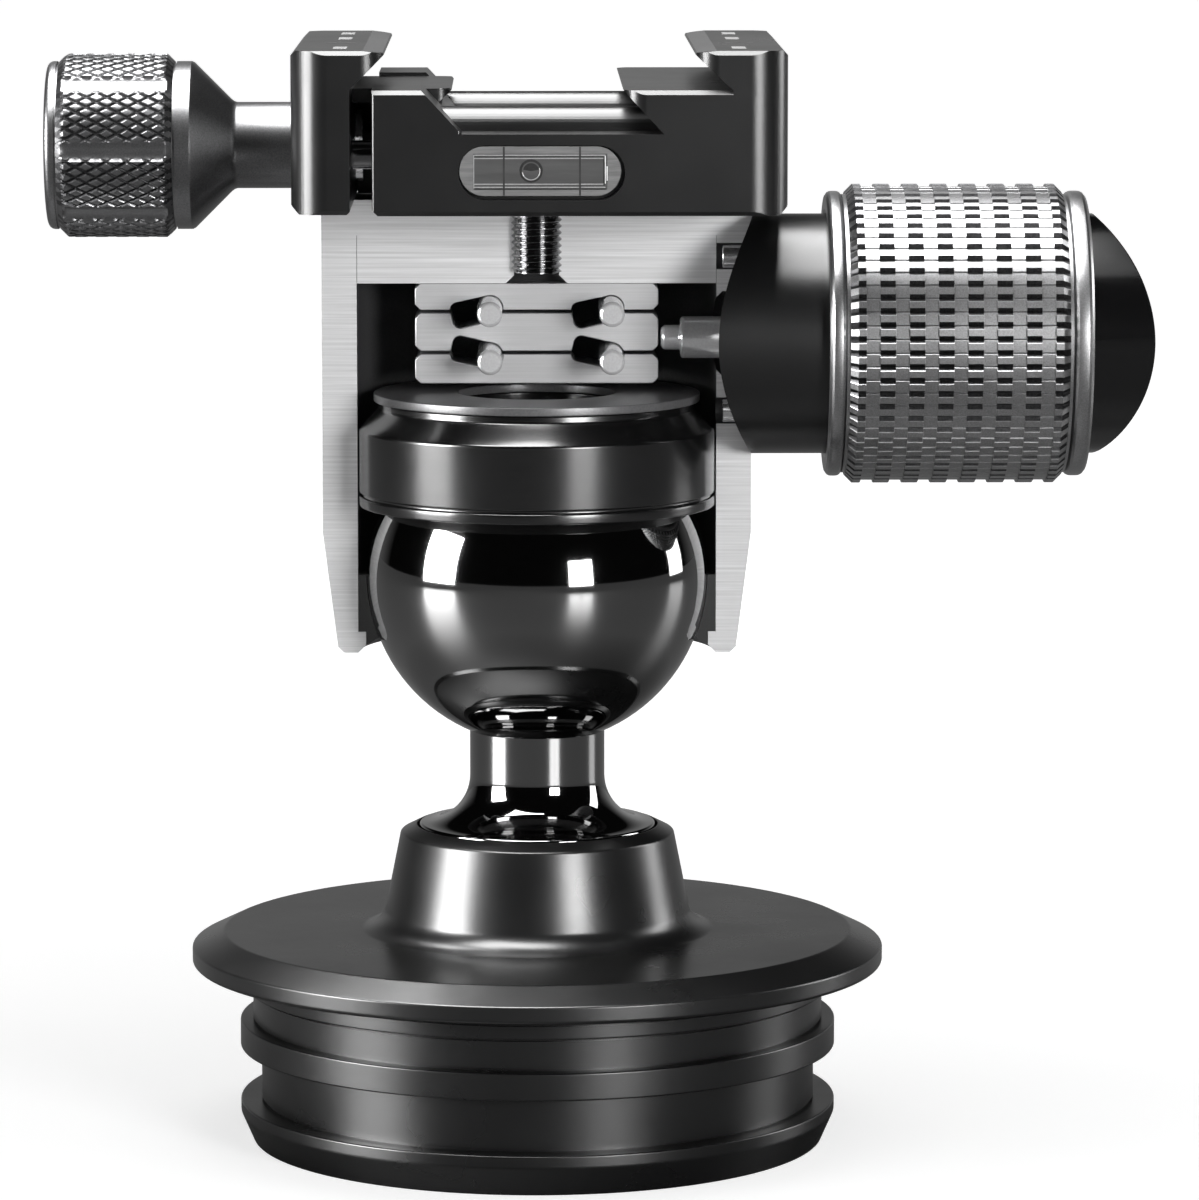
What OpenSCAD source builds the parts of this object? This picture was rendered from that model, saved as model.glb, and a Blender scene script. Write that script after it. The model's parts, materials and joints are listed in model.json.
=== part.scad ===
// Inverted ball head on a grooved platform base, shown as a cutaway on its axial plane.
// The ball stands on the base and the housing, with its quick-release clamp, turns over it.
// A three-plate wedge with rollers presses a ring onto the ball when the side knob is turned.
// Origin: centre of the base's underside. +Z up, +X towards the lock knob, front at -Y.

/* [Base platform] */
// Radius of the two lands that drop into a tripod's apex ring
land_r = 32.6; // [27:0.1:40]
// Width of the bevel round the foot
foot_bevel_w = 1.4; // [0.8:0.1:2.4]
// Height of the bevel round the foot
foot_bevel_h = 3.2; // [2:0.1:4.5]
// Height of the lower land
low_land_h = 1.3; // [0.8:0.1:3]
// Height of the lower groove
low_groove_h = 5.9; // [4:0.1:8]
// Depth of the lower groove
low_groove_d = 2.3; // [1:0.1:3]
// Height of the upper land
high_land_h = 2.95; // [2:0.05:5]
// Height of the upper groove
high_groove_h = 3.45; // [2:0.05:5]
// Depth of the upper groove
high_groove_d = 1.4; // [0.8:0.1:2.4]
// Height of the neck under the flange
collar_h = 1.75; // [0.8:0.05:3]
// Depth of the neck under the flange
collar_d = 0.7; // [0.3:0.1:1.3]
// How far the flange stands out past the lands
flange_over = 5.2; // [3.5:0.1:8]
// Height of the flange's upright rim
rim_h = 1.6; // [1:0.1:3]
// Slope of the flange's underside in degrees
under_angle = 10; // [4:1:20]
// Slope of the bevel on the flange's top in degrees
bevel_angle = 25.8; // [18:0.2:40]
// Width of the bevel on the flange's top
bevel_w = 3.5; // [1.5:0.1:4.5]
// Height of the cone that carries the ball stud
cone_h = 10.7; // [8.5:0.1:14]
// Slope of that cone from upright, in degrees
cone_angle = 11.2; // [4:0.2:18]
// Radius of the fillet at the cone's foot
cone_fillet_r = 3.2; // [1.5:0.1:4.5]
// Width of the bevelled mouth round the stud
mouth_w = 1.8; // [0.8:0.05:2.5]
// Rise of the bevelled mouth
mouth_rise = 0.9; // [0.4:0.05:1.5]
// Radius of the tripod thread in the underside
thread_r = 4.76; // [3.2:0.02:5.5]
// Radius of the steel insert that carries the thread
insert_r = 7; // [6:0.1:9]
// Length of the insert
insert_h = 11; // [8:0.5:12]

/* [Ball stud] */
// Radius of the ball
ball_r = 18.5; // [15:0.1:22]
// Radius of the neck under the ball
stem_r = 7.35; // [5.5:0.05:9]
// Length of the straight part of the neck
stem_len = 4.98; // [3:0.02:9]
// Radius of the flange at the foot of the neck
stem_flange_r = 12.9; // [11:0.1:15]
// Rounding of that flange's edge
stem_edge_round = 0.3; // [0.1:0.05:0.6]
// How far the stud's flange sits inside the base
stem_seat_d = 3.3; // [2:0.1:4.5]
// Radius of the spigot that screws into the base
spigot_r = 8; // [6.5:0.1:9.5]
// Length of that spigot
spigot_l = 13; // [9:0.5:16]

/* [Seat and pressure ring] */
// Gap between the ball's equator and the housing bore
bore_gap = 1; // [0.7:0.05:1.8]
// Depth of the seat ledge below the ball's centre
seat_drop = 6.3; // [5:0.1:8]
// Height of the pressure ring's lower edge above the ball's centre
ring_low = 7.7; // [6:0.1:9]
// Height of the pressure ring's lower lip
ring_lip_h = 1.1; // [0.7:0.1:1.6]
// Height of the groove over that lip
ring_groove_h = 0.4; // [0.2:0.05:0.8]
// Depth of the groove over that lip
ring_groove_d = 0.4; // [0.2:0.05:0.8]
// Height of the cone on the pressure ring
ring_cone_h = 2.3; // [1.5:0.1:3]
// Width of the cone on the pressure ring
ring_cone_w = 2.1; // [1.2:0.1:3]
// Thickness of metal between the ball's crown and the ring's top
crown_gap = 0.55; // [0.3:0.05:1.2]
// Thickness of the thrust disc
disc_t = 0.9; // [0.6:0.05:1.6]
// Radius of the hole in the thrust disc
disc_hole_r = 8.55; // [6:0.05:11]
// How far the thrust disc overhangs the ring's cone
disc_over = 0.5; // [0:0.1:1]

/* [Housing and cap] */
// Wall of the housing
housing_wall = 3.8; // [3:0.1:5]
// Height of the lip under the seat ring
lip_h = 2.3; // [1.6:0.1:3.5]
// Gap between the lip and the ball's equator radius
lip_gap = 0.16; // [0.1:0.02:0.5]
// Height above the ball's centre where the skirt starts to taper
taper_up = 4.6; // [1:0.2:8]
// How far the skirt tapers in
taper_in = 1.6; // [0.6:0.1:2.2]
// Depth of the cap's spigot in the housing
cap_spigot_h = 5.2; // [4:0.1:7]
// Thickness of the cap's flange
cap_flange_t = 3.85; // [3:0.05:6]

/* [Wedge lock] */
// Half of the length of the wedge plates
plate_half_x = 13.2; // [12:0.1:15]
// Depth of the wedge plates behind the cut
plate_y = 8; // [6:0.5:9.5]
// Thickness of the top plate
top_plate_t = 2.9; // [2.4:0.1:4]
// Thickness of the middle plate
middle_plate_t = 4.2; // [3.8:0.1:5.5]
// Thickness of the bottom plate
bottom_plate_t = 3.2; // [2.6:0.1:4.5]
// Gap between neighbouring plates when the lock is open
plate_gap = 0.3; // [0.2:0.02:0.5]
// Chamfer on the corners of the plates
plate_chamfer = 0.6; // [0.3:0.05:1]
// Radius of the rollers
roller_r = 1.365; // [1.1:0.005:1.5]
// Half of the distance between two rollers of a row
roller_half = 6.57; // [5.5:0.05:7]
// How far the rows of rollers lie towards the knob
roller_shift = 1.5; // [0.5:0.1:2]
// How far each roller lies off its seam, in the round end of its slot
roller_rise = 0.33; // [0.2:0.01:0.5]
// Slope of the roller slots in degrees
ramp_angle = 12.4; // [8:0.1:14]
// Travel of the plunger from open to locked
lock_travel = 1.6; // [1:0.05:2]
// Gap that is left between bottom plate and disc when locked
lock_margin = 0.195; // [0.1:0.005:0.5]

/* [Lock knob] */
// Radius of the plunger's tip
tip_r = 1.35; // [1.1:0.05:1.7]
// Length of the plunger's tip
tip_l = 2.05; // [1.2:0.05:2.6]
// Radius of the plunger
plunger_r = 2.3; // [2.1:0.05:2.6]
// How far the plunger lies below the knob's axis
plunger_drop = 0.4; // [0.2:0.05:1]
// Length of the plunger's guide in the boss
guide_l = 2.6; // [2:0.1:4]
// Radius of the lock bore in the housing wall
lock_bore_r = 4.6; // [4.2:0.1:5.2]
// Width of the inward bevel of that bore
lock_bore_bevel = 0.62; // [0.3:0.02:1]
// Radius of the lock screw
screw_r = 3.5; // [3.2:0.05:3.8]
// Radius of the bush that the lock screw runs in
bush_r = 5.3; // [4.8:0.05:5.6]
// Radius of the boss on the side of the housing
boss_r = 13; // [11.5:0.1:14.5]
// Length of boss that shows between housing and knob
boss_show = 7.9; // [6:0.1:11]
// Length of boss inside the knob
boss_in = 5.4; // [4.5:0.1:7]
// Distance of the boss screws from the knob's axis
boss_screw_off = 8.4; // [8:0.1:9]
// Radius of the boss screws
boss_screw_r = 1.27; // [1:0.01:1.5]
// Radius of the boss screws' heads
boss_screw_head_r = 2.4; // [2.1:0.05:2.6]
// Height of the boss screws' heads
boss_screw_head_h = 2; // [1.4:0.1:2.6]
// Length of the lock knob
lock_knob_l = 28.1; // [26:0.1:34]
// Radius of the lock knob over its lands
lock_knob_r = 16.2; // [15.7:0.1:19]
// How far the end beads lie below the lands
bead_drop = 0.75; // [0.4:0.05:1.1]
// Width of the bead at the housing's end
inner_bead_w = 1.8; // [1.4:0.1:3]
// Width of the bead at the outer end
outer_bead_w = 2.2; // [1.4:0.1:3]
// Number of ring grooves in the grip
grip_grooves = 7; // [4:1:9]
// Width of a ring groove
grip_groove_w = 1.48; // [1:0.02:1.8]
// Depth of a ring groove
grip_groove_d = 0.3; // [0.2:0.05:0.6]
// Radius of the end cap
lock_cap_r = 13; // [11.5:0.1:13.2]
// Straight rim of the end cap
lock_cap_rim = 0.95; // [0.5:0.05:2.5]
// Rise of the arched end of the cap
lock_cap_rise = 5.7; // [3:0.1:7]

/* [Clamp] */
// Half of the clamp's length
clamp_half_y = 25; // [23:0.5:30]
// Distance from the axis to the body's face at the gap
body_left_x = 17.25; // [16.5:0.05:19]
// Distance from the axis to the body's outer face
body_right_x = 26.3; // [24.5:0.05:29]
// Distance from the axis to the fixed lip's edge
fixed_lip_x = 16.56; // [15.8:0.05:18]
// Gap between jaw and body in the position shown
jaw_gap = 2.3; // [2.25:0.01:3]
// How far the jaw can close from there
jaw_close = 2; // [0.5:0.05:2.1]
// Thickness of the movable jaw
jaw_t = 6.25; // [5.6:0.02:9]
// How far the jaw's lip leans over its inner face
jaw_lip = 3.58; // [2.6:0.02:3.7]
// Height of the lips over the plate ledge
lip_rise = 4.1; // [3.4:0.05:5]
// Depth of the rail channel under the plate ledge
channel_h = 4.55; // [4.2:0.05:5.5]
// Width of the rail channel at its floor
channel_w = 21.1; // [19:0.1:22.5]
// How far the rail channel lies towards the fixed jaw
channel_shift = 2.7; // [1.5:0.1:3]
// Slope of the channel's sides from upright, in degrees
channel_angle = 43; // [35:1:48]
// Radius of the recoil lugs across the channel
lug_r = 2.5; // [1.8:0.1:2.6]
// Distance between the two recoil lugs
lug_pitch = 30; // [20:10:30]
// How far the lugs lie towards the front
lug_shift = 1.5; // [0:0.5:3]
// Radius of the clamp's upright corners
clamp_corner_r = 4; // [2:0.1:5]
// Radius of the lips' rounded ends
lip_corner_r = 2.5; // [1:0.1:3]
// Chamfer along the clamp's long edges
edge_chamfer = 0.45; // [0.2:0.05:0.8]
// Half of the length of the jaw's tongue
tongue_half_y = 13; // [10:0.5:13.5]
// How far the tongue reaches past the jaw's inner face
tongue_l = 10.53; // [9.7:0.01:11.2]
// How far the tongue's top lies below the plate ledge
tongue_drop = 0.38; // [0.2:0.02:0.6]

/* [Clamp fittings] */
// Height of the level's pocket
level_h = 5.7; // [4.8:0.1:6.5]
// Length of the level's pocket
level_l = 17.4; // [15:0.1:21]
// Metal under the level's pocket
level_under = 1.7; // [1.2:0.05:2.2]
// Metal over the level's pocket
level_over = 1.15; // [0.9:0.05:2]
// How far the level lies towards the fixed jaw
level_shift = 0.5; // [0:0.01:2]
// Room between the window and its pocket, all of it at the lower right
window_room = 0.27; // [0.1:0.01:0.35]
// Length of the vial
vial_l = 14.1; // [11:0.1:16]
// Thickness of the level's window
window_t = 1.2; // [0.8:0.1:2]
// Radius of the vial
vial_r = 1.95; // [1.5:0.05:2.1]
// Radius of the clamp bolt
bolt_r = 2.4; // [2:0.05:2.8]
// Radius of the clamp bolt's head
bolt_head_r = 4.5; // [3.9:0.1:4.8]
// Thickness of the body under the bolt's head
bolt_seat_t = 3.1; // [2.4:0.1:4]
// How far the bolt's end stays above the cap's underside
bolt_short = 1.2; // [0.9:0.1:2.5]
// Height of the clamp spindle above the clamp's underside
spindle_up = 5.95; // [5.4:0.05:6.1]
// Radius of the clamp spindle
spindle_r = 2.3; // [1.9:0.05:2.45]
// Distance of each guide pin from the middle of the clamp
guide_y = 17; // [16:0.5:19]
// Radius of the guide pins
guide_r = 1.5; // [1.1:0.05:1.8]

/* [Clamp knob] */
// Radius of the clamp knob over its grip
clamp_knob_r = 9.92; // [8.6:0.02:12]
// Length of the grip
grip_l = 12.4; // [10:0.1:16]
// How far the plain rims lie below the grip
rim_drop = 0.87; // [0.5:0.01:1.2]
// Width of the rim at the outer end
end_rim_w = 1.3; // [0.9:0.1:3]
// Width of the ring next to the cone
inner_rim_w = 2; // [1.2:0.1:3]
// Radius of the knob's neck
knob_neck_r = 4.65; // [4:0.05:5.5]
// Length of the knob's neck
knob_neck_l = 6.7; // [5:0.1:10]
// Number of flutes round the grip
flutes = 8; // [6:1:9]
// Radius of the flutes
flute_r = 1.5; // [1.2:0.05:1.9]
// Depth of the flutes
flute_d = 0.55; // [0.3:0.05:0.8]

/* [Fits] */
// Running clearance of turning and sliding pieces
run_fit = 0.05; // [0.02:0.01:0.08]
// Clearance of pieces that are fixed in one another
seat_fit = 0.02; // [0.01:0.01:0.04]
// Clearance of the ball in its seats
ball_fit = 0.08; // [0.04:0.01:0.12]
// Clearance of the pressure ring in the housing
ring_clear = 0.2; // [0.1:0.02:0.3]
// Clearance round the rollers in their slots
roller_fit = 0.04; // [0.02:0.01:0.08]
// Clearance of parts that pass each other freely
free_gap = 0.25; // [0.15:0.05:0.4]

/* [Hidden] */
$fn = 64;
far = 200;
half_turn = 180;
// Small bite by which roundings and joined outlines run into one another
bite = 0.02;

// Base, from the underside up
low_land_z = foot_bevel_h;
low_groove_z = low_land_z + low_land_h;
high_land_z = low_groove_z + low_groove_h;
high_groove_z = high_land_z + high_land_h;
collar_z = high_groove_z + high_groove_h;
under_z = collar_z + collar_h;
collar_r = land_r - collar_d;
flange_r = land_r + flange_over;
rim_edge = 0.3;
under_tip_x = flange_r - rim_edge;
under_tip_z = under_z + (under_tip_x - collar_r) * tan(under_angle);
rim_z = under_tip_z + rim_edge;
rim_top_z = rim_z + rim_h;
flange_z = rim_top_z + bevel_w * tan(bevel_angle);
mouth_r = stem_flange_r + free_gap;
cone_top_r = mouth_r + mouth_w;
cone_top_z = flange_z + cone_h;
cone_foot_r = cone_top_r + cone_h * tan(cone_angle);
mouth_z = cone_top_z + mouth_rise;
fillet_z = flange_z + cone_fillet_r;
fillet_x = cone_foot_r - cone_fillet_r * tan(cone_angle) + cone_fillet_r / cos(cone_angle);

// Ball stud, seated in the base
seat_z = mouth_z - stem_seat_d;
stem_lift = 0.15;
stem_edge_z = mouth_z + stem_lift;
flare_r = stem_flange_r - stem_edge_round - stem_r;
flare_z = stem_edge_z + flare_r;
ball_z = flare_z + stem_len + sqrt(ball_r * ball_r - stem_r * stem_r);

// Housing, from the ball's centre
bore_r = ball_r + bore_gap;
housing_r = bore_r + housing_wall;
lip_r = ball_r + lip_gap;
ledge_z = ball_z - seat_drop;
skirt_z = ledge_z - lip_h;
skirt_r = housing_r - taper_in;
skirt_outer_bevel = 0.65;
skirt_inner_bevel = 0.85;

// Pressure ring and thrust disc over the ball
ring_r = bore_r - ring_clear;
ring_z = ball_z + ring_low;
ring_top_z = ball_z + ball_r + crown_gap;
ring_land_h = 0.75;
ring_cone_z = ring_top_z - ring_land_h - ring_cone_h;
ring_cone_r = ring_r - ring_cone_w;
ring_hole_r = disc_hole_r + disc_over;
disc_z = ring_top_z + run_fit;
disc_r = ring_cone_r + disc_over;
disc_top_z = disc_z + disc_t;

// Wedge stack between the disc and the cap
ramp = tan(ramp_angle);
lock_gap = 2 * lock_travel * ramp + lock_margin;
bottom_plate_z = disc_top_z + lock_gap;
low_seam_z = bottom_plate_z + bottom_plate_t + plate_gap / 2;
middle_plate_z = low_seam_z + plate_gap / 2;
high_seam_z = middle_plate_z + middle_plate_t + plate_gap / 2;
top_plate_z = high_seam_z + plate_gap / 2;
low_row_z = low_seam_z - roller_rise;
high_row_z = high_seam_z + roller_rise;
cap_z = top_plate_z + top_plate_t;
tube_top_z = cap_z + cap_spigot_h;
clamp_z = tube_top_z + cap_flange_t;
slot_spare = 1.25;
slot_run = lock_travel + slot_spare;
slot_corner_r = 0.8;
slot_r = roller_r + roller_fit;

// Lock, along the knob's axis
lock_z = middle_plate_z + middle_plate_t / 2 - lock_travel * ramp / 2;
tip_x = plate_half_x + free_gap;
plunger_x = tip_x + tip_l;
plunger_z = lock_z - plunger_drop;
bush_x = housing_r + guide_l;
screw_x = bush_x + lock_travel + free_gap;
boss_screw_play = 0.16;
knob_x = housing_r + boss_show;
knob_end_x = knob_x + lock_knob_l;
boss_end_x = knob_x + boss_in;
hub_x = boss_end_x + lock_travel + 3 * free_gap;
bead_r = lock_knob_r - bead_drop;
bead_relief = 0.35;
grip_x = knob_x + inner_bead_w + bead_relief;
grip_end_x = knob_end_x - outer_bead_w - bead_relief;
grip_land_w = (grip_end_x - grip_x - grip_grooves * grip_groove_w) / (grip_grooves + 1);
cap_step = 2;
cap_plug_r = lock_cap_r - cap_step;
cap_plug_l = 2.5;
cap_floor_x = knob_end_x - cap_plug_l - seat_fit;
knob_screw_head_r = 3.6;
knob_screw_head_h = 1.6;
knob_screw_r = 1.6;
knob_screw_l = 8;
screw_end_x = cap_floor_x - knob_screw_head_h - free_gap;
cap_rim_x = knob_end_x + lock_cap_rim;
cap_arch_r = (lock_cap_r * lock_cap_r + lock_cap_rise * lock_cap_rise) / (2 * lock_cap_rise);
cap_arch_x = cap_rim_x + lock_cap_rise - cap_arch_r;

// Clamp, from the cap's top
floor_z = clamp_z + level_under + level_h + level_over;
plate_ledge_z = floor_z + channel_h;
jaw_top_z = plate_ledge_z + lip_rise;
lip_blunt = 0.2;
lip_bevel = 0.25;
lip_bevel_w = 2.2;
fixed_v_x = fixed_lip_x + lip_rise - lip_blunt;
channel_lean = channel_h * tan(channel_angle);
channel_right_x = channel_shift + channel_w / 2;
channel_left_x = channel_shift - channel_w / 2;
jaw_in_x = -body_left_x - jaw_gap;
jaw_out_x = jaw_in_x - jaw_t;
jaw_lip_x = jaw_in_x + jaw_lip;
jaw_v_z = jaw_top_z - lip_bevel - lip_blunt - jaw_lip;
jaw_foot_gap = 0.12;
jaw_bottom_z = clamp_z + jaw_foot_gap;
jaw_corner = 0.6;
jaw_foot_corner = 0.9;
gap_edge_r = 0.35;
spindle_z = clamp_z + spindle_up;
tongue_wall = 2.7;
tongue_slot_z = spindle_z + spindle_r + tongue_wall;
tongue_z = tongue_slot_z + free_gap;
tongue_top_z = plate_ledge_z - tongue_drop;
tongue_tip_x = jaw_in_x + tongue_l;
tongue_corner_r = 1.5;
bolt_head_clear = 0.2;
bolt_seat_z = clamp_z + bolt_seat_t;
bolt_head_sink = 0.5;
bolt_end_z = cap_z + bolt_short;
bolt_flare = 0.88;
hex_share = 0.56;
level_z = clamp_z + level_under + level_h / 2;
window_gap = 0.05;
window_shift = (window_room - seat_fit) * cos(45);
window_z = level_z + window_shift;
vial_x = level_shift - window_shift - vial_l / 2;
vial_y = window_t + window_gap + vial_r;
spindle_hole_x = -bolt_head_r - bolt_head_clear - 0.8;
spindle_tip_x = spindle_hole_x - jaw_close - free_gap;
guide_hole_x = -8;
guide_tip_x = guide_hole_x - jaw_close - free_gap;
guide_tail = 1.6;
rib_t = 1.6;
rib_reach = 3;
rib_inset = 5;
rib_y = guide_y - guide_r - rib_t - rib_inset;
clip_t = 0.8;
clip_wall = 1.6;
clip_r = spindle_r + clip_wall;
clip_groove = 0.4;
clip_x = jaw_in_x + run_fit;
clip_room_x = clip_x + clip_t + jaw_close + free_gap;

// Clamp knob, along the spindle
rim_r = clamp_knob_r - rim_drop;
neck_end_x = jaw_out_x - run_fit;
cone_tip_x = neck_end_x - knob_neck_l;
cone_base_x = cone_tip_x - (rim_r - knob_neck_r);
grip_in_x = cone_base_x - inner_rim_w;
grip_out_x = grip_in_x - grip_l;
knob_out_x = grip_out_x - end_rim_w;
rim_round_r = 0.7;
knob_end_wall = 2;
spindle_root_x = grip_out_x + knob_end_wall;

// Turn a profile of radius and height round the vertical axis
module turned(angle = 360) {
    rotate_extrude(angle = angle) children();
}

// Turn a profile of radius and distance round the lock knob's axis, or one at another height
module turned_on_lock(z = lock_z) {
    translate([0, 0, z]) rotate([0, 90, 0]) rotate_extrude() children();
}

// Turn a profile of radius and distance round the clamp spindle's axis
module turned_on_spindle() {
    translate([0, 0, spindle_z]) rotate([0, 90, 0]) rotate_extrude() children();
}

// A rod along X from x0 to x1
module rod_x(x0, x1, r, y = 0, z = 0) {
    translate([x0, y, z]) rotate([0, 90, 0]) cylinder(h = x1 - x0, r = r);
}

// A rectangle of radius r0..r1 and height h0..h1 in a profile
module band(r0, r1, h0, h1) {
    translate([r0, h0]) square([r1 - r0, h1 - h0]);
}

// Base platform: bevelled foot, two lands, two grooves, flange and the stud's cone
module base_platform() {
    color("#26272a") difference() {
        turned() difference() {
            union() {
                polygon([
                    [0, 0], [land_r - foot_bevel_w, 0], [land_r, low_land_z], [land_r, low_groove_z],
                    [land_r - low_groove_d, low_groove_z], [land_r - low_groove_d, high_land_z],
                    [land_r, high_land_z], [land_r, high_groove_z],
                    [land_r - high_groove_d, high_groove_z], [land_r - high_groove_d, collar_z],
                    [collar_r, collar_z], [collar_r, under_z], [under_tip_x, under_tip_z],
                    [flange_r, rim_z], [flange_r, rim_top_z], [flange_r - bevel_w, flange_z],
                    [cone_foot_r, flange_z], [cone_top_r, cone_top_z], [mouth_r, mouth_z], [0, mouth_z]
                ]);
                cone_fillet();
            }
            band(0, mouth_r, seat_z, mouth_z + 1);
            band(0, spigot_r + run_fit, seat_z - spigot_l - free_gap, seat_z + 1);
        }
        translate([0, 0, -1]) cylinder(h = insert_h + 1, r = insert_r + seat_fit);
    }
}

// Steel insert with the tripod thread, pressed into the base's underside
module thread_insert() {
    color("#a9abad") turned() band(thread_r, insert_r, 0, insert_h - seat_fit);
}

// Concave fillet between the flange's top and the stud's cone
module cone_fillet() {
    difference() {
        polygon([
            [cone_foot_r - 1, flange_z - 1], [fillet_x, flange_z - 1], [fillet_x, flange_z],
            [fillet_x - cone_fillet_r * cos(cone_angle), fillet_z - cone_fillet_r * sin(cone_angle)],
            [cone_top_r - 1, cone_top_z - 1]
        ]);
        translate([fillet_x, fillet_z]) circle(cone_fillet_r + bite);
    }
}

// Ball, neck, flared flange and spigot turned from one bar
module ball_stud() {
    color("#0b0b0c") turned() {
        intersection() {
            translate([0, ball_z]) circle(ball_r);
            band(0, ball_r, ball_z - ball_r, ball_z + ball_r);
        }
        band(0, stem_r, flare_z, ball_z);
        difference() {
            band(0, stem_flange_r - stem_edge_round, stem_edge_z, flare_z);
            translate([stem_r + flare_r, flare_z]) circle(flare_r);
        }
        band(0, stem_flange_r - stem_edge_round, seat_z + run_fit, stem_edge_z);
        band(0, stem_flange_r, seat_z + run_fit, stem_edge_z - stem_edge_round);
        translate([stem_flange_r - stem_edge_round, stem_edge_z - stem_edge_round])
            circle(stem_edge_round);
        band(0, spigot_r, seat_z - spigot_l, seat_z + 2 * run_fit);
    }
}

// Lower seat of the ball, cut through with the housing
module seat_ring() {
    skirt_out = lip_r - run_fit;
    ring_out = bore_r - run_fit;
    foot_z = ledge_z - lip_h + skirt_inner_bevel;
    slope = 0.6;
    reach = 2.8;
    color("#1a1b1d") turned(half_turn) difference() {
        polygon([
            [skirt_out, foot_z], [skirt_out, ledge_z + seat_fit], [ring_out, ledge_z + seat_fit],
            [ring_out, ball_z - run_fit], [skirt_out - reach, ball_z - run_fit],
            [skirt_out - reach, foot_z + slope * reach]
        ]);
        translate([0, ball_z]) circle(ball_r + ball_fit);
    }
}

// Upper seat that the wedge presses onto the ball
module pressure_ring() {
    color("#2b2c2f") turned() difference() {
        polygon([
            [ring_hole_r, ring_z], [ring_r, ring_z], [ring_r, ring_z + ring_lip_h],
            [ring_r - ring_groove_d, ring_z + ring_lip_h],
            [ring_r - ring_groove_d, ring_z + ring_lip_h + ring_groove_h],
            [ring_r, ring_z + ring_lip_h + ring_groove_h], [ring_r, ring_cone_z],
            [ring_cone_r, ring_cone_z + ring_cone_h], [ring_cone_r, ring_top_z],
            [ring_hole_r, ring_top_z]
        ]);
        translate([0, ball_z]) circle(ball_r + ball_fit);
    }
}

// Hardened disc between the wedge and the pressure ring
module thrust_disc() {
    color("#56585c") turned() band(disc_hole_r, disc_r, disc_z, disc_top_z);
}

// Housing tube with tapered skirt, inner lip, lock bore and screw holes, cut on the axial plane
module housing() {
    color("#c4c6c8") difference() {
        turned(half_turn) polygon([
            [lip_r, ledge_z], [lip_r, skirt_z + skirt_inner_bevel],
            [lip_r + skirt_inner_bevel, skirt_z], [skirt_r - skirt_outer_bevel, skirt_z],
            [skirt_r, skirt_z + skirt_outer_bevel], [housing_r, ball_z + taper_up],
            [housing_r, tube_top_z], [bore_r, tube_top_z], [bore_r, ledge_z]
        ]);
        turned_on_lock() polygon([
            [0, bore_r - lock_bore_bevel], [lock_bore_r - 2 * lock_bore_bevel, bore_r - lock_bore_bevel],
            [lock_bore_r, bore_r + lock_bore_bevel], [lock_bore_r, housing_r + 1], [0, housing_r + 1]
        ]);
        for (side = [-1, 1])
            rod_x(bore_r - 1, housing_r + 1, boss_screw_r + boss_screw_play,
                z = lock_z + side * boss_screw_off);
    }
}

// Cap that closes the housing and carries the clamp, cut on the same plane
module top_cap() {
    color("#c9cbcd") turned(half_turn) polygon([
        [bolt_r + run_fit + bolt_flare, cap_z], [bore_r - run_fit, cap_z],
        [bore_r - run_fit, tube_top_z], [housing_r, tube_top_z], [housing_r, clamp_z],
        [bolt_r + run_fit, clamp_z], [bolt_r + run_fit, cap_z + bolt_flare]
    ]);
}

// Outline of a wedge plate with chamfered corners
module plate_outline(z0, t) {
    polygon([
        [-plate_half_x + plate_chamfer, z0], [plate_half_x - plate_chamfer, z0],
        [plate_half_x, z0 + plate_chamfer], [plate_half_x, z0 + t - plate_chamfer],
        [plate_half_x - plate_chamfer, z0 + t], [-plate_half_x + plate_chamfer, z0 + t],
        [-plate_half_x, z0 + t - plate_chamfer], [-plate_half_x, z0 + plate_chamfer]
    ]);
}

// Sloping slots for a row of rollers: a round end at the roller and a squarer end at the left
module slot_outlines(row_z, slope) {
    left = -slot_run - slot_r;
    for (side = [-1, 1])
        translate([roller_shift + side * roller_half, row_z]) rotate(slope) {
            circle(slot_r);
            translate([left + slot_corner_r, -slot_r]) square([-left - slot_corner_r, 2 * slot_r]);
            translate([left, slot_corner_r - slot_r])
                square([slot_corner_r, 2 * (slot_r - slot_corner_r)]);
            for (edge = [-1, 1])
                translate([left + slot_corner_r, edge * (slot_r - slot_corner_r)])
                    circle(slot_corner_r);
        }
}

// A wedge plate behind the cut, with the slots of the seams it borders on
module wedge_plate(z0, t, upper_seam, lower_seam) {
    translate([0, plate_y, 0]) rotate([90, 0, 0]) linear_extrude(plate_y) difference() {
        plate_outline(z0, t);
        if (upper_seam) slot_outlines(high_row_z, ramp_angle);
        if (lower_seam) slot_outlines(low_row_z, -ramp_angle);
    }
}

module wedge_top_plate() {
    color("#b4b6b8") wedge_plate(top_plate_z, top_plate_t, true, false);
}

module wedge_middle_plate() {
    color("#b0b2b4") wedge_plate(middle_plate_z, middle_plate_t, true, true);
}

module wedge_bottom_plate() {
    color("#b4b6b8") wedge_plate(bottom_plate_z, bottom_plate_t, false, true);
}

// A row of two rollers that stand out in front of the cut plates
module roller_row(row_z) {
    for (side = [-1, 1])
        translate([roller_shift + side * roller_half, 0, row_z])
            rotate([90, 0, 0]) cylinder(h = 2 * plate_y, r = roller_r, center = true);
}

module upper_rollers() {
    color("#e2e4e6") roller_row(high_row_z);
}

module lower_rollers() {
    color("#e2e4e6") roller_row(low_row_z);
}

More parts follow.
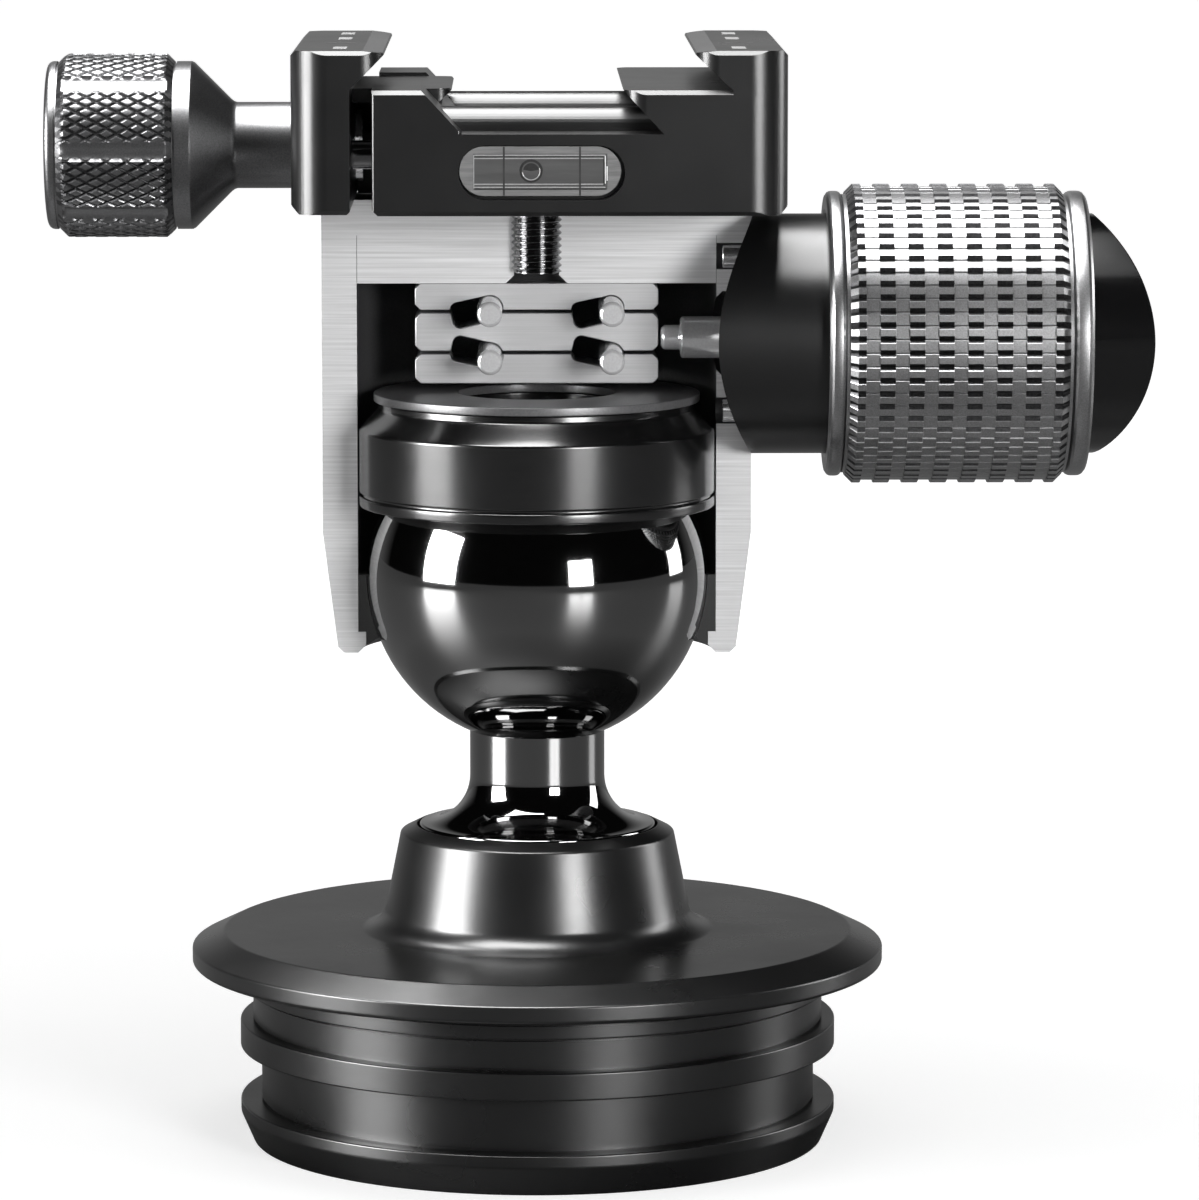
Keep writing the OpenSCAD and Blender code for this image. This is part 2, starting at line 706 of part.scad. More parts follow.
// Stepped plunger that pushes the middle plate
module lock_plunger() {
    tip_edge = 0.35;
    step_edge = 0.25;
    plunger_end_x = screw_x - run_fit;
    color("#dfe1e3") turned_on_lock(plunger_z) polygon([
        [0, tip_x], [tip_r - tip_edge, tip_x], [tip_r, tip_x + tip_edge], [tip_r, plunger_x],
        [plunger_r - step_edge, plunger_x], [plunger_r, plunger_x + step_edge],
        [plunger_r, plunger_end_x], [0, plunger_end_x]
    ]);
}

// Screw that the knob turns, tapped at its outer end for the knob's fixing screw
module lock_screw() {
    color("#9a9c9f") turned_on_lock() difference() {
        band(0, screw_r, screw_x, screw_end_x);
        band(0, knob_screw_r + seat_fit, screw_end_x - knob_screw_l, screw_end_x + 1);
    }
}

// Brass bush that the lock screw runs in
module lock_bush() {
    color("#b99a4e") turned_on_lock()
        band(screw_r + run_fit, bush_r, bush_x + seat_fit, boss_end_x - free_gap);
}

// Round boss, saddled to the housing, with the plunger's guide, the bush's bore and screw holes
module lock_boss() {
    head_x = boss_end_x - boss_screw_head_h - free_gap;
    color("#232427") difference() {
        rod_x(0, boss_end_x, boss_r, z = lock_z);
        translate([0, 0, lock_z - 2 * boss_r])
            cylinder(h = 4 * boss_r, r = housing_r + seat_fit);
        rod_x(0, boss_end_x, plunger_r + run_fit, z = plunger_z);
        rod_x(bush_x, boss_end_x + 1, bush_r + seat_fit, z = lock_z);
        for (side = [-1, 1]) {
            rod_x(0, boss_end_x, boss_screw_r + run_fit, z = lock_z + side * boss_screw_off);
            rod_x(head_x, boss_end_x + 1, boss_screw_head_r + run_fit,
                z = lock_z + side * boss_screw_off);
        }
    }
}

// The two screws that hold the boss to the housing
module boss_screws() {
    tip_back = 0.6;
    head_x = boss_end_x - boss_screw_head_h - free_gap + seat_fit;
    color("#c8cacc") for (side = [-1, 1])
        difference() {
            union() {
                rod_x(bore_r + tip_back, head_x + 1, boss_screw_r, z = lock_z + side * boss_screw_off);
                rod_x(head_x, head_x + boss_screw_head_h, boss_screw_head_r,
                    z = lock_z + side * boss_screw_off);
            }
            translate([head_x + boss_screw_head_h / 2, 0, lock_z + side * boss_screw_off])
                rotate([0, 90, 0]) cylinder(h = boss_screw_head_h, r = boss_screw_r, $fn = 6);
        }
}

// Lock knob: two smooth beads and a grip of lands and ring grooves round a hollow skirt
module lock_knob() {
    bead_round = 0.9;
    color("#b8babd") turned_on_lock() difference() {
        union() {
            band(0, bead_r - bead_round, knob_x, knob_end_x);
            band(0, bead_r, knob_x + bead_round, knob_end_x - bead_round);
            for (x = [knob_x + bead_round, knob_end_x - bead_round])
                translate([bead_r - bead_round, x]) circle(bead_round);
            band(0, lock_knob_r, grip_x, grip_end_x);
        }
        for (i = [0 : grip_grooves - 1])
            band(lock_knob_r - grip_groove_d, lock_knob_r + 1,
                grip_x + (i + 1) * grip_land_w + i * grip_groove_w,
                grip_x + (i + 1) * (grip_land_w + grip_groove_w));
        for (x = [grip_x - bead_relief, grip_end_x])
            band(bead_r - bead_relief, lock_knob_r + 1, x, x + bead_relief);
        band(0, boss_r + free_gap, knob_x - 1, hub_x);
        band(0, screw_r + seat_fit, hub_x - 1, screw_end_x + 1);
        band(0, knob_screw_head_r + run_fit, screw_end_x, knob_end_x + 1);
        band(0, cap_plug_r + seat_fit, cap_floor_x, knob_end_x + 1);
    }
}

// Screw under the end cap that holds the knob on the lock screw
module knob_screw() {
    socket_r_share = 0.5;
    color("#8f9194") difference() {
        union() {
            rod_x(screw_end_x - knob_screw_l + free_gap, screw_end_x + 1, knob_screw_r, z = lock_z);
            rod_x(screw_end_x + seat_fit, screw_end_x + seat_fit + knob_screw_head_h,
                knob_screw_head_r, z = lock_z);
        }
        translate([screw_end_x + knob_screw_head_h / 2, 0, lock_z]) rotate([0, 90, 0])
            cylinder(h = knob_screw_head_h, r = knob_screw_head_r * socket_r_share, $fn = 6);
    }
}

// End cap: a round plug and rim whose outer face is arched like a barrel vault
module lock_knob_cap() {
    color("#161719") {
        rod_x(knob_end_x - cap_plug_l, knob_end_x + seat_fit, cap_plug_r, z = lock_z);
        intersection() {
            rod_x(knob_end_x + seat_fit, cap_rim_x + lock_cap_rise, lock_cap_r, z = lock_z);
            translate([cap_arch_x, 0, lock_z]) rotate([90, 0, 0])
                cylinder(h = 4 * lock_cap_r, r = cap_arch_r, center = true);
        }
    }
}

// Plan outline from x0 to x1 with corner radius r0 at the left and r1 at the right
module plan_outline(x0, x1, half_y, r0, r1) {
    translate([x0 + r0, -half_y]) square([x1 - r1 - x0 - r0, 2 * half_y]);
    translate([x0, r0 - half_y]) square([r0 + bite, 2 * (half_y - r0)]);
    translate([x1 - r1 - bite, r1 - half_y]) square([r1 + bite, 2 * (half_y - r1)]);
    for (side = [-1, 1]) {
        translate([x0 + r0, side * (half_y - r0)]) circle(r0);
        translate([x1 - r1, side * (half_y - r1)]) circle(r1);
    }
}

// A bar along Y with the children's cross-section, rounded in plan and chamfered at its ends
module shaped_bar(x0, x1, z0, z1, half_y, r0, r1, c0, c1) {
    intersection() {
        rotate([90, 0, 0]) linear_extrude(4 * half_y, center = true) children();
        translate([0, 0, z0]) linear_extrude(z1 - z0) plan_outline(x0, x1, half_y, r0, r1);
        translate([x0 - 1, 0, 0]) rotate([90, 0, 90]) linear_extrude(x1 - x0 + 2) polygon([
            [c0 - half_y, z0], [half_y - c0, z0], [half_y, z0 + c0], [half_y, z1 - c1],
            [half_y - c1, z1], [c1 - half_y, z1], [-half_y, z1 - c1], [-half_y, z0 + c0]
        ]);
    }
}

// Under-block of the clamp body, up to the floor of the rail channel
module body_block() {
    right = body_right_x;
    shaped_bar(-body_left_x, right, clamp_z, floor_z, clamp_half_y, gap_edge_r, clamp_corner_r,
        edge_chamfer, 0)
        polygon([
            [-body_left_x + jaw_corner, clamp_z], [right - jaw_foot_corner, clamp_z],
            [right, clamp_z + jaw_foot_corner], [right, floor_z], [-body_left_x, floor_z],
            [-body_left_x, clamp_z + jaw_corner]
        ]);
}

// Shoulder left of the rail channel, bevelled so that the rail drops in
module body_left_shoulder() {
    shaped_bar(-body_left_x, channel_left_x, floor_z, plate_ledge_z, clamp_half_y, gap_edge_r,
        edge_chamfer, 0, edge_chamfer)
        polygon([
            [-body_left_x, floor_z], [channel_left_x, floor_z],
            [channel_left_x - channel_lean, plate_ledge_z], [-body_left_x, plate_ledge_z]
        ]);
}

// Shoulder right of the rail channel, undercut to hold the rail
module body_right_shoulder() {
    right = body_right_x;
    shaped_bar(channel_right_x - channel_lean, right, floor_z, plate_ledge_z, clamp_half_y,
        lip_corner_r, clamp_corner_r, 0, edge_chamfer)
        polygon([
            [channel_right_x, floor_z], [right, floor_z], [right, plate_ledge_z],
            [channel_right_x - channel_lean, plate_ledge_z]
        ]);
}

// Fixed lip of the dovetail
module body_lip() {
    right = body_right_x;
    shaped_bar(fixed_lip_x, right, plate_ledge_z, jaw_top_z, clamp_half_y, lip_corner_r,
        clamp_corner_r, 0, edge_chamfer)
        polygon([
            [fixed_v_x, plate_ledge_z], [right, plate_ledge_z], [right, jaw_top_z - jaw_corner],
            [right - jaw_corner, jaw_top_z], [fixed_lip_x + lip_bevel_w, jaw_top_z],
            [fixed_lip_x + lip_blunt / 2, jaw_top_z - lip_bevel],
            [fixed_lip_x, jaw_top_z - lip_bevel - lip_blunt]
        ]);
}

// Round-topped lugs across the channel that key into a rail's slots
module recoil_lugs() {
    for (side = [-1, 1])
        intersection() {
            rod_x(channel_left_x - channel_lean, channel_right_x, lug_r,
                y = side * lug_pitch / 2 - lug_shift, z = floor_z);
            translate([-far, -far, floor_z - lug_r / 2]) cube(2 * far);
        }
}

// Fixed half of the quick-release clamp
module clamp_body() {
    color("#202124") difference() {
        union() {
            body_block();
            body_left_shoulder();
            body_right_shoulder();
            body_lip();
            recoil_lugs();
        }
        tongue_slot();
        rib_groove();
        translate([0, 0, clamp_z - 1]) cylinder(h = far, r = bolt_r + 2 * ball_fit);
        translate([0, 0, bolt_seat_z]) cylinder(h = far, r = bolt_head_r + bolt_head_clear);
        rod_x(-body_left_x - 1, spindle_hole_x, spindle_r + run_fit, z = spindle_z);
        rod_x(-body_left_x - 1, clip_room_x, clip_r + free_gap, z = spindle_z);
        for (side = [-1, 1])
            rod_x(-body_left_x - 1, guide_hole_x, guide_r + run_fit, y = side * guide_y, z = spindle_z);
        level_pocket();
    }
}

// Slot in the left shoulder that the jaw's tongue slides in
module tongue_slot() {
    half = tongue_half_y + free_gap;
    translate([-body_left_x - 1, -half, tongue_slot_z])
        cube([body_left_x + 1 + channel_left_x, 2 * half, far]);
}

// Groove in the face at the gap that the jaw's rib slides in
module rib_groove() {
    translate([-body_left_x - 1, rib_y - free_gap, clamp_z - 1])
        cube([1 + rib_reach + jaw_close + free_gap, rib_t + 2 * free_gap,
            tongue_slot_z - clamp_z + 1 + bite]);
}

// Pocket in the front face for the level's window and vial
module level_pocket() {
    translate([0, -clamp_half_y - 1, 0]) rotate([-90, 0, 0]) linear_extrude(window_t + window_gap + 1)
        level_outline(0);
    rod_x(vial_x - window_gap, vial_x + vial_l + window_gap, vial_r + window_gap,
        y = vial_y - clamp_half_y, z = window_z);
    translate([vial_x - window_gap, -clamp_half_y, window_z - vial_r - window_gap])
        cube([vial_l + 2 * window_gap, vial_y, 2 * (vial_r + window_gap)]);
}

// Stadium outline of the level's pocket, drawn in by a clearance, in a frame turned face up
module level_outline(inset) {
    straight = level_l - level_h;
    translate([level_shift, -level_z]) {
        square([straight, level_h - 2 * inset], center = true);
        for (side = [-1, 1])
            translate([side * straight / 2, 0]) circle(level_h / 2 - inset);
    }
}

// Cross-section of the movable jaw
module jaw_section() {
    left = jaw_out_x;
    polygon([
        [left + jaw_foot_corner, jaw_bottom_z], [jaw_in_x - gap_edge_r, jaw_bottom_z],
        [jaw_in_x, jaw_bottom_z + gap_edge_r], [jaw_in_x, jaw_v_z],
        [jaw_lip_x, jaw_top_z - lip_bevel - lip_blunt],
        [jaw_lip_x - lip_blunt / 2, jaw_top_z - lip_bevel], [jaw_lip_x - lip_bevel_w, jaw_top_z],
        [left + jaw_corner, jaw_top_z], [left, jaw_top_z - jaw_corner],
        [left, jaw_bottom_z + jaw_foot_corner]
    ]);
}

// Tongue of the jaw, with an undercut tip that draws a rail against the channel's far side
module jaw_tongue() {
    tip_lean = (tongue_top_z - tongue_z) * tan(channel_angle);
    shaped_bar(jaw_in_x - 1, tongue_tip_x, tongue_z, tongue_top_z, tongue_half_y, 0.5,
        tongue_corner_r, 0, 0)
        polygon([
            [jaw_in_x - 1, tongue_z], [tongue_tip_x - tip_lean, tongue_z],
            [tongue_tip_x, tongue_top_z - lip_blunt], [tongue_tip_x - lip_blunt, tongue_top_z],
            [jaw_in_x - 1, tongue_top_z]
        ]);
}

// Rib under the tongue that bridges the gap to the body
module jaw_rib() {
    translate([jaw_in_x - bite, rib_y, jaw_bottom_z])
        cube([bite + jaw_gap + rib_reach, rib_t, tongue_z - jaw_bottom_z + bite]);
}

// Movable half of the quick-release clamp
module clamp_jaw() {
    color("#202124") difference() {
        union() {
            shaped_bar(jaw_out_x, jaw_lip_x, jaw_bottom_z, jaw_top_z, clamp_half_y, clamp_corner_r,
                lip_corner_r, edge_chamfer, edge_chamfer) jaw_section();
            jaw_tongue();
            jaw_rib();
        }
        rod_x(jaw_out_x - 1, jaw_in_x + 1, spindle_r + run_fit, z = spindle_z);
        for (side = [-1, 1])
            rod_x(jaw_out_x + guide_tail, jaw_in_x + 1, guide_r + seat_fit, y = side * guide_y,
                z = spindle_z);
    }
}

// Two pins, fixed in the jaw, that keep it square to the body
module guide_pins() {
    color("#c5c7c9") for (side = [-1, 1])
        rod_x(jaw_out_x + guide_tail + seat_fit, guide_tip_x, guide_r, y = side * guide_y, z = spindle_z);
}

// Bolt that holds the clamp on the cap, with a hexagon socket in its head
module clamp_bolt() {
    head_h = floor_z - bolt_seat_z - bolt_head_sink;
    color("#141416") difference() {
        union() {
            translate([0, 0, bolt_end_z]) cylinder(h = bolt_seat_z - bolt_end_z + 1, r = bolt_r);
            translate([0, 0, bolt_seat_z + seat_fit]) cylinder(h = head_h, r = bolt_head_r);
        }
        translate([0, 0, bolt_seat_z + head_h / 2])
            cylinder(h = head_h, r = bolt_head_r * hex_share, $fn = 6);
    }
}

// Spindle of the clamp knob, with a groove for its clip
module clamp_spindle() {
    color("#a6a8ab") turned_on_spindle() difference() {
        band(0, spindle_r, spindle_root_x, spindle_tip_x);
        band(spindle_r - clip_groove, spindle_r + 1, clip_x, clip_x + clip_t);
    }
}

// Clip that makes the jaw follow the spindle when the clamp opens
module spindle_clip() {
    color("#6f7174") turned_on_spindle()
        band(spindle_r - clip_groove + seat_fit, clip_r, clip_x + seat_fit, clip_x + clip_t - seat_fit);
}

// Clamp knob: rounded end rim, fluted grip, inner ring, cone and neck
module clamp_knob() {
    line_w = 0.25;
    line_d = 0.3;
    grip_edge = rim_drop;
    color("#8d8f92") difference() {
        turned_on_spindle() difference() {
            union() {
                polygon([
                    [0, grip_out_x], [rim_r, grip_out_x], [clamp_knob_r, grip_out_x + grip_edge],
                    [clamp_knob_r, grip_in_x - grip_edge], [rim_r, grip_in_x], [rim_r, cone_base_x],
                    [knob_neck_r, cone_tip_x], [knob_neck_r, neck_end_x], [0, neck_end_x]
                ]);
                band(0, rim_r - rim_round_r, knob_out_x, grip_out_x);
                band(0, rim_r, knob_out_x + rim_round_r, grip_out_x);
                translate([rim_r - rim_round_r, knob_out_x + rim_round_r]) circle(rim_round_r);
            }
            for (x = [grip_out_x - line_w, grip_in_x])
                band(rim_r - line_d, clamp_knob_r, x, x + line_w);
            band(0, spindle_r + seat_fit, spindle_root_x - seat_fit, neck_end_x + 1);
        }
        for (i = [0 : flutes - 1])
            translate([0, 0, spindle_z]) rotate([i * 360 / flutes, 0, 0]) flute();
    }
}

// One ball-ended flute, laid at the front of the grip
module flute() {
    reach = clamp_knob_r + flute_r - flute_d;
    end_in = 1.1;
    translate([0, -reach, 0]) {
        rod_x(grip_out_x + end_in, grip_in_x - end_in, flute_r);
        translate([grip_out_x + end_in, 0, 0]) sphere(flute_r);
        translate([grip_in_x - end_in, 0, 0]) sphere(flute_r);
    }
}

// Glass vial of the spirit level
module level_vial() {
    color("#b9c4c0") rod_x(vial_x, vial_x + vial_l, vial_r, y = vial_y - clamp_half_y, z = window_z);
}

// Clear window over the vial, flush with the front face and set to the upper left of its pocket
module level_window() {
    color("#aab0b2") translate([-window_shift, -clamp_half_y, window_shift]) rotate([-90, 0, 0])
        linear_extrude(window_t) level_outline(window_room);
}

base_platform();
thread_insert();
ball_stud();
seat_ring();
pressure_ring();
thrust_disc();
housing();
top_cap();
wedge_top_plate();
wedge_middle_plate();
wedge_bottom_plate();
upper_rollers();
lower_rollers();
lock_plunger();
lock_screw();
lock_bush();
lock_boss();
boss_screws();
lock_knob();
knob_screw();
lock_knob_cap();
clamp_body();
clamp_jaw();
guide_pins();
clamp_bolt();
clamp_spindle();
spindle_clip();
clamp_knob();
level_vial();
level_window();
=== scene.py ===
"""Dresses the cutaway inverted ball head: finishes, knurls, bolt thread, level, marks, light and camera."""
import json
import math

import bmesh
import bpy
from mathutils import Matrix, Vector

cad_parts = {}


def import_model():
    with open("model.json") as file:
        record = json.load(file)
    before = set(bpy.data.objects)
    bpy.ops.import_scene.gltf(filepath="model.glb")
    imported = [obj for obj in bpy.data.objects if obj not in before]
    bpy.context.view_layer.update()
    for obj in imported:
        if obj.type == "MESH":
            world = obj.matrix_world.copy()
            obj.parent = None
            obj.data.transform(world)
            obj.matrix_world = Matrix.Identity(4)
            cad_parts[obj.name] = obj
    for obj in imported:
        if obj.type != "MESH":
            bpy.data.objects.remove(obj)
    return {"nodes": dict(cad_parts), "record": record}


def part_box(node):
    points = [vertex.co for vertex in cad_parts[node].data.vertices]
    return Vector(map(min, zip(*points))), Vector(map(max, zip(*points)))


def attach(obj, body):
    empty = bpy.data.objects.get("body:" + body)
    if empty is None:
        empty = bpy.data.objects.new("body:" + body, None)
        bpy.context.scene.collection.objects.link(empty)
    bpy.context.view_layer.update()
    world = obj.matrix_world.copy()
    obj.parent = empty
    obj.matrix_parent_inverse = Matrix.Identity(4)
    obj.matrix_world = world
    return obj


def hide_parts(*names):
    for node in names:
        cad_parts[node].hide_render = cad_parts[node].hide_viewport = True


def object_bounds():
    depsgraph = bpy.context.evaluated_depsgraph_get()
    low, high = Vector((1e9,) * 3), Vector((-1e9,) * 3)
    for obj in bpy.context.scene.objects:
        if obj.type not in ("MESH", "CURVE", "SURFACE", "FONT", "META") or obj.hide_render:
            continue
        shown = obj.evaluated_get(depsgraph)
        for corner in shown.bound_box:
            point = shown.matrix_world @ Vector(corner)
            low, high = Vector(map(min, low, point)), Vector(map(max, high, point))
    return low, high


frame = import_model()
cad_low, cad_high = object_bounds()
MM = 0.001
FULL_TURN = 2 * math.pi
NODES = frame["nodes"]
BODY_OF = {
    node: body
    for body, members in frame["record"]["behaviour"]["bodies"].items()
    for node in members
}
SLOT_OF = {piece["node"]: piece["material_slot"] for piece in frame["record"]["subparts"]}


# Shader building

# Noise scales are in cycles per metre
FINE_GRAIN = 9000
METAL_GRAIN = 6000
COAT_GRAIN = 5000
CLOUD_GRAIN = 60
STREAK = (45, 45, 3500)
PLATE_STREAK = (60, 60, 5000)
STREAK_DEPTH_MM = 0.01
STREAK_STRENGTH = 0.4
SATIN_DEPTH_MM = 0.004
# Faces of the sectioned pieces that lie in front of this depth are sawn
CUT_DEPTH = 0.03 * MM
COAT_ROUGHNESS = 0.45
COAT_METALLIC = 0.6


def new_tree(name):
    """A new node material with its tree and its surface shader."""
    material = bpy.data.materials.new(name)
    material.use_nodes = True
    tree = material.node_tree
    return material, tree, tree.nodes["Principled BSDF"]


def add(tree, kind, inputs=None, **settings):
    """A shader node with its settings and its constant inputs."""
    node = tree.nodes.new(kind)
    for key, value in settings.items():
        setattr(node, key, value)
    for key, value in (inputs or {}).items():
        node.inputs[key].default_value = value
    return node


def grain(tree, scale, stretch=(1, 1, 1), detail=4.0):
    """Noise in the part's own frame, stretched along the axes."""
    place = add(tree, "ShaderNodeTexCoord")
    mapping = add(tree, "ShaderNodeMapping", {"Scale": stretch})
    noise = add(tree, "ShaderNodeTexNoise", {"Scale": scale, "Detail": detail, "Roughness": 0.6})
    tree.links.new(place.outputs["Object"], mapping.inputs["Vector"])
    tree.links.new(mapping.outputs["Vector"], noise.inputs["Vector"])
    return noise.outputs["Fac"]


def spread(tree, value, low, high, start=0.3, end=0.7):
    """Maps a grey value from start..end to low..high."""
    node = add(tree, "ShaderNodeMapRange", {
        "From Min": start, "From Max": end, "To Min": low, "To Max": high,
    })
    tree.links.new(value, node.inputs["Value"])
    return node.outputs["Result"]


def tint(tree, value, dark, light):
    """A colour between two by a grey value."""
    node = add(tree, "ShaderNodeMix", data_type="RGBA")
    node.inputs["A"].default_value = (*dark, 1)
    node.inputs["B"].default_value = (*light, 1)
    tree.links.new(value, node.inputs["Factor"])
    return node.outputs[2]


def bump(tree, value, depth_mm, strength=1.0):
    """A bump normal from a grey value."""
    node = add(tree, "ShaderNodeBump", {"Strength": strength, "Distance": depth_mm * MM})
    tree.links.new(value, node.inputs["Height"])
    return node.outputs["Normal"]


def finish(name, dark, light, rough, metallic=0.0, scale=4000, stretch=(1, 1, 1), depth_mm=0.0,
           ior=1.5, rough_spread=0.03):
    """A finish whose colour varies with a grain and whose roughness varies with a slow cloud."""
    material, tree, shader = new_tree(name)
    fleck = grain(tree, scale, stretch)
    cloud = grain(tree, CLOUD_GRAIN)
    tree.links.new(tint(tree, spread(tree, fleck, 0, 1), dark, light), shader.inputs["Base Color"])
    tree.links.new(
        spread(tree, cloud, rough - rough_spread, rough + rough_spread), shader.inputs["Roughness"])
    shader.inputs["Metallic"].default_value = metallic
    shader.inputs["IOR"].default_value = ior
    if depth_mm:
        tree.links.new(bump(tree, fleck, depth_mm), shader.inputs["Normal"])
    return material


def cut_finish(name, bare_dark, bare_light, streak, metallic, rough, coat):
    """Bare streaked metal on the sawn faces, which lie on the plane y = 0, and a dark coat elsewhere."""
    material, tree, shader = new_tree(name)
    place = add(tree, "ShaderNodeTexCoord")
    axes = add(tree, "ShaderNodeSeparateXYZ")
    sawn = add(tree, "ShaderNodeMath", {1: CUT_DEPTH}, operation="LESS_THAN")
    tree.links.new(place.outputs["Object"], axes.inputs["Vector"])
    tree.links.new(axes.outputs["Y"], sawn.inputs[0])
    is_sawn = sawn.outputs["Value"]
    fine = grain(tree, 1.0, streak, detail=6.0)
    bare = tint(tree, spread(tree, fine, 0, 1, 0.25, 0.75), bare_dark, bare_light)
    fleck = grain(tree, COAT_GRAIN)
    coated = tint(tree, spread(tree, fleck, 0, 1), [c * 0.8 for c in coat], [c * 1.2 for c in coat])
    colour = add(tree, "ShaderNodeMix", data_type="RGBA")
    tree.links.new(is_sawn, colour.inputs["Factor"])
    tree.links.new(coated, colour.inputs["A"])
    tree.links.new(bare, colour.inputs["B"])
    tree.links.new(colour.outputs[2], shader.inputs["Base Color"])
    tree.links.new(spread(tree, is_sawn, COAT_ROUGHNESS, rough, 0, 1), shader.inputs["Roughness"])
    tree.links.new(spread(tree, is_sawn, COAT_METALLIC, metallic, 0, 1), shader.inputs["Metallic"])
    tree.links.new(bump(tree, fine, STREAK_DEPTH_MM, STREAK_STRENGTH), shader.inputs["Normal"])
    return material


def grey(level, blue=0):
    """A grey, whose blue part differs from the level where it is given."""
    return level, level, blue or level


# Finishes, by the slots of the record

BLACK = grey(0.002, 0.0021)
BLACK_LIGHT = grey(0.006, 0.0063)
COAT = grey(0.08, 0.082)
MATERIALS = {
    "base_black": finish("base_black", BLACK, BLACK_LIGHT, 0.29, scale=FINE_GRAIN, depth_mm=SATIN_DEPTH_MM),
    "thread_steel": finish("thread_steel", grey(0.3, 0.31), grey(0.45, 0.46), 0.35, 1.0),
    "ball_black": finish("ball_black", grey(0.0004), grey(0.0008), 0.05, scale=900, ior=2.45,
                         rough_spread=0.015),
    "seat_black": cut_finish("seat_black", grey(0.006), grey(0.012), STREAK, 0.0, 0.4, COAT),
    "ring_grey": finish("ring_grey", BLACK, grey(0.006, 0.0062), 0.2, scale=1.0, stretch=(400, 400, 9000),
                        ior=1.6),
    "disc_steel": finish("disc_steel", grey(0.1, 0.102), grey(0.14, 0.143), 0.35, 0.4),
    "housing_alu": cut_finish("housing_alu", grey(0.4, 0.405), grey(0.66, 0.665), STREAK, 0.2, 0.45, COAT),
    "plate_steel": cut_finish("plate_steel", grey(0.36, 0.365), grey(0.46, 0.465), PLATE_STREAK, 0.2, 0.4,
                              grey(0.2, 0.205)),
    "roller_chrome": finish("roller_chrome", grey(0.7, 0.71), grey(0.82, 0.83), 0.14, 0.5),
    "bush_brass": finish("bush_brass", (0.45, 0.3, 0.08), (0.6, 0.42, 0.14), 0.3, 1.0),
    "screw_steel": finish("screw_steel", grey(0.55, 0.56), grey(0.7, 0.71), 0.2, 0.85),
    "clamp_black": finish("clamp_black", BLACK, BLACK_LIGHT, 0.3, scale=FINE_GRAIN, depth_mm=SATIN_DEPTH_MM,
                          ior=1.45),
    "bolt_black": finish("bolt_black", grey(0.12, 0.122), grey(0.18, 0.183), 0.16, 1.0),
    "knob_silver": finish("knob_silver", grey(0.2, 0.203), grey(0.3, 0.304), 0.32, 1.0, scale=METAL_GRAIN),
    "cap_black": finish("cap_black", BLACK, BLACK_LIGHT, 0.12, scale=FINE_GRAIN, ior=1.36,
                        rough_spread=0.02),
    "knob_grey": finish("knob_grey", grey(0.1, 0.102), grey(0.16, 0.163), 0.32, 1.0, scale=METAL_GRAIN),
    "vial_glass": finish("vial_glass", grey(0.2), grey(0.28), 0.08, scale=300),
    "window_clear": finish("window_clear", grey(0.13), grey(0.21), 0.25, scale=1.0,
                           stretch=(200, 200, 2500)),
}
# Steel pieces given the dark bolt finish, as they look black in the slit beside the jaw
DARK_IN_SLIT = ("guide_pins", "clamp_spindle")

# Finishes of the marks, the level with its painted highlights and shade, the lips' edges and the painted
# shade in the grooves of the knurls

PAINT_WHITE = finish("paint_white", grey(0.6), grey(0.75), 0.5)
PAINT_GREY = finish("paint_grey", grey(0.06), grey(0.09), 0.5)
PAINT_BLACK = finish("paint_black", grey(0.004), grey(0.008), 0.5)
# The level's painted highlights and glints, its fluid and its painted shade
LEVEL_HIGHLIGHT = finish("level_painted_highlight", grey(0.26), grey(0.36), 0.3)
LEVEL_GLINT = finish("level_glint", grey(0.7), grey(0.9), 0.2)
LEVEL_FLUID = finish("level_fluid", grey(0.045), grey(0.085), 0.3, scale=1.0, stretch=(60, 60, 700))
LEVEL_SHADE = finish("level_painted_shade", grey(0.01), grey(0.02), 0.3)
LIP_EDGE = finish("lip_edge", grey(0.03, 0.031), grey(0.06, 0.062), 0.35, scale=FINE_GRAIN, ior=1.7)
# Painted shade for the faces deep in the knurls' grooves
GROOVE_SHADE = finish("groove_painted_shade", grey(0.02, 0.021), grey(0.05, 0.051), 0.4, 1.0)


# Mesh building

WELD = 0.0005 * MM
# Bevel width in mm on the edges of pieces that keep their CAD form
EDGE_WIDTHS = (
    ("clamp_body", 0.12), ("clamp_jaw", 0.12), ("wedge_top_plate", 0.15), ("wedge_middle_plate", 0.15),
    ("wedge_bottom_plate", 0.15), ("upper_rollers", 0.35), ("lower_rollers", 0.35), ("lock_plunger", 0.15),
    ("boss_screws", 0.12), ("lock_knob_cap", 0.6),
)
# Corner rounding and depth of the inner reliefs, in mm, of pieces that are turned anew
TURNED = (
    ("base_platform", 0.2, 0.3), ("ball_stud", 0.1, 0), ("pressure_ring", 0.2, 0), ("thrust_disc", 0.12, 0),
)


def new_object(name, mesh, slot, body, material=None):
    """An object for the mesh, finished by a material or else by its slot's, that rides on a body."""
    obj = bpy.data.objects.new(name, mesh)
    bpy.context.scene.collection.objects.link(obj)
    mesh.materials.clear()
    mesh.materials.append(material or MATERIALS[slot])
    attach(obj, body)
    return obj


def shade(mesh, angle_deg):
    """Smooth shading with edges sharper than the angle kept crisp."""
    mesh.polygons.foreach_set("use_smooth", [True] * len(mesh.polygons))
    mesh.set_sharp_from_angle(angle=math.radians(angle_deg))


def even_normals(obj):
    """Lets large faces rule the shading, so that bevels look round."""
    weigh = obj.modifiers.new("normals", "WEIGHTED_NORMAL")
    weigh.weight = 100
    weigh.keep_sharp = True


def tidied(mesh):
    """Joins the corners of a mesh that lie together and turns its faces outward."""
    work = bmesh.new()
    work.from_mesh(mesh)
    bmesh.ops.remove_doubles(work, verts=work.verts, dist=WELD)
    bmesh.ops.recalc_face_normals(work, faces=work.faces)
    work.to_mesh(mesh)
    work.free()


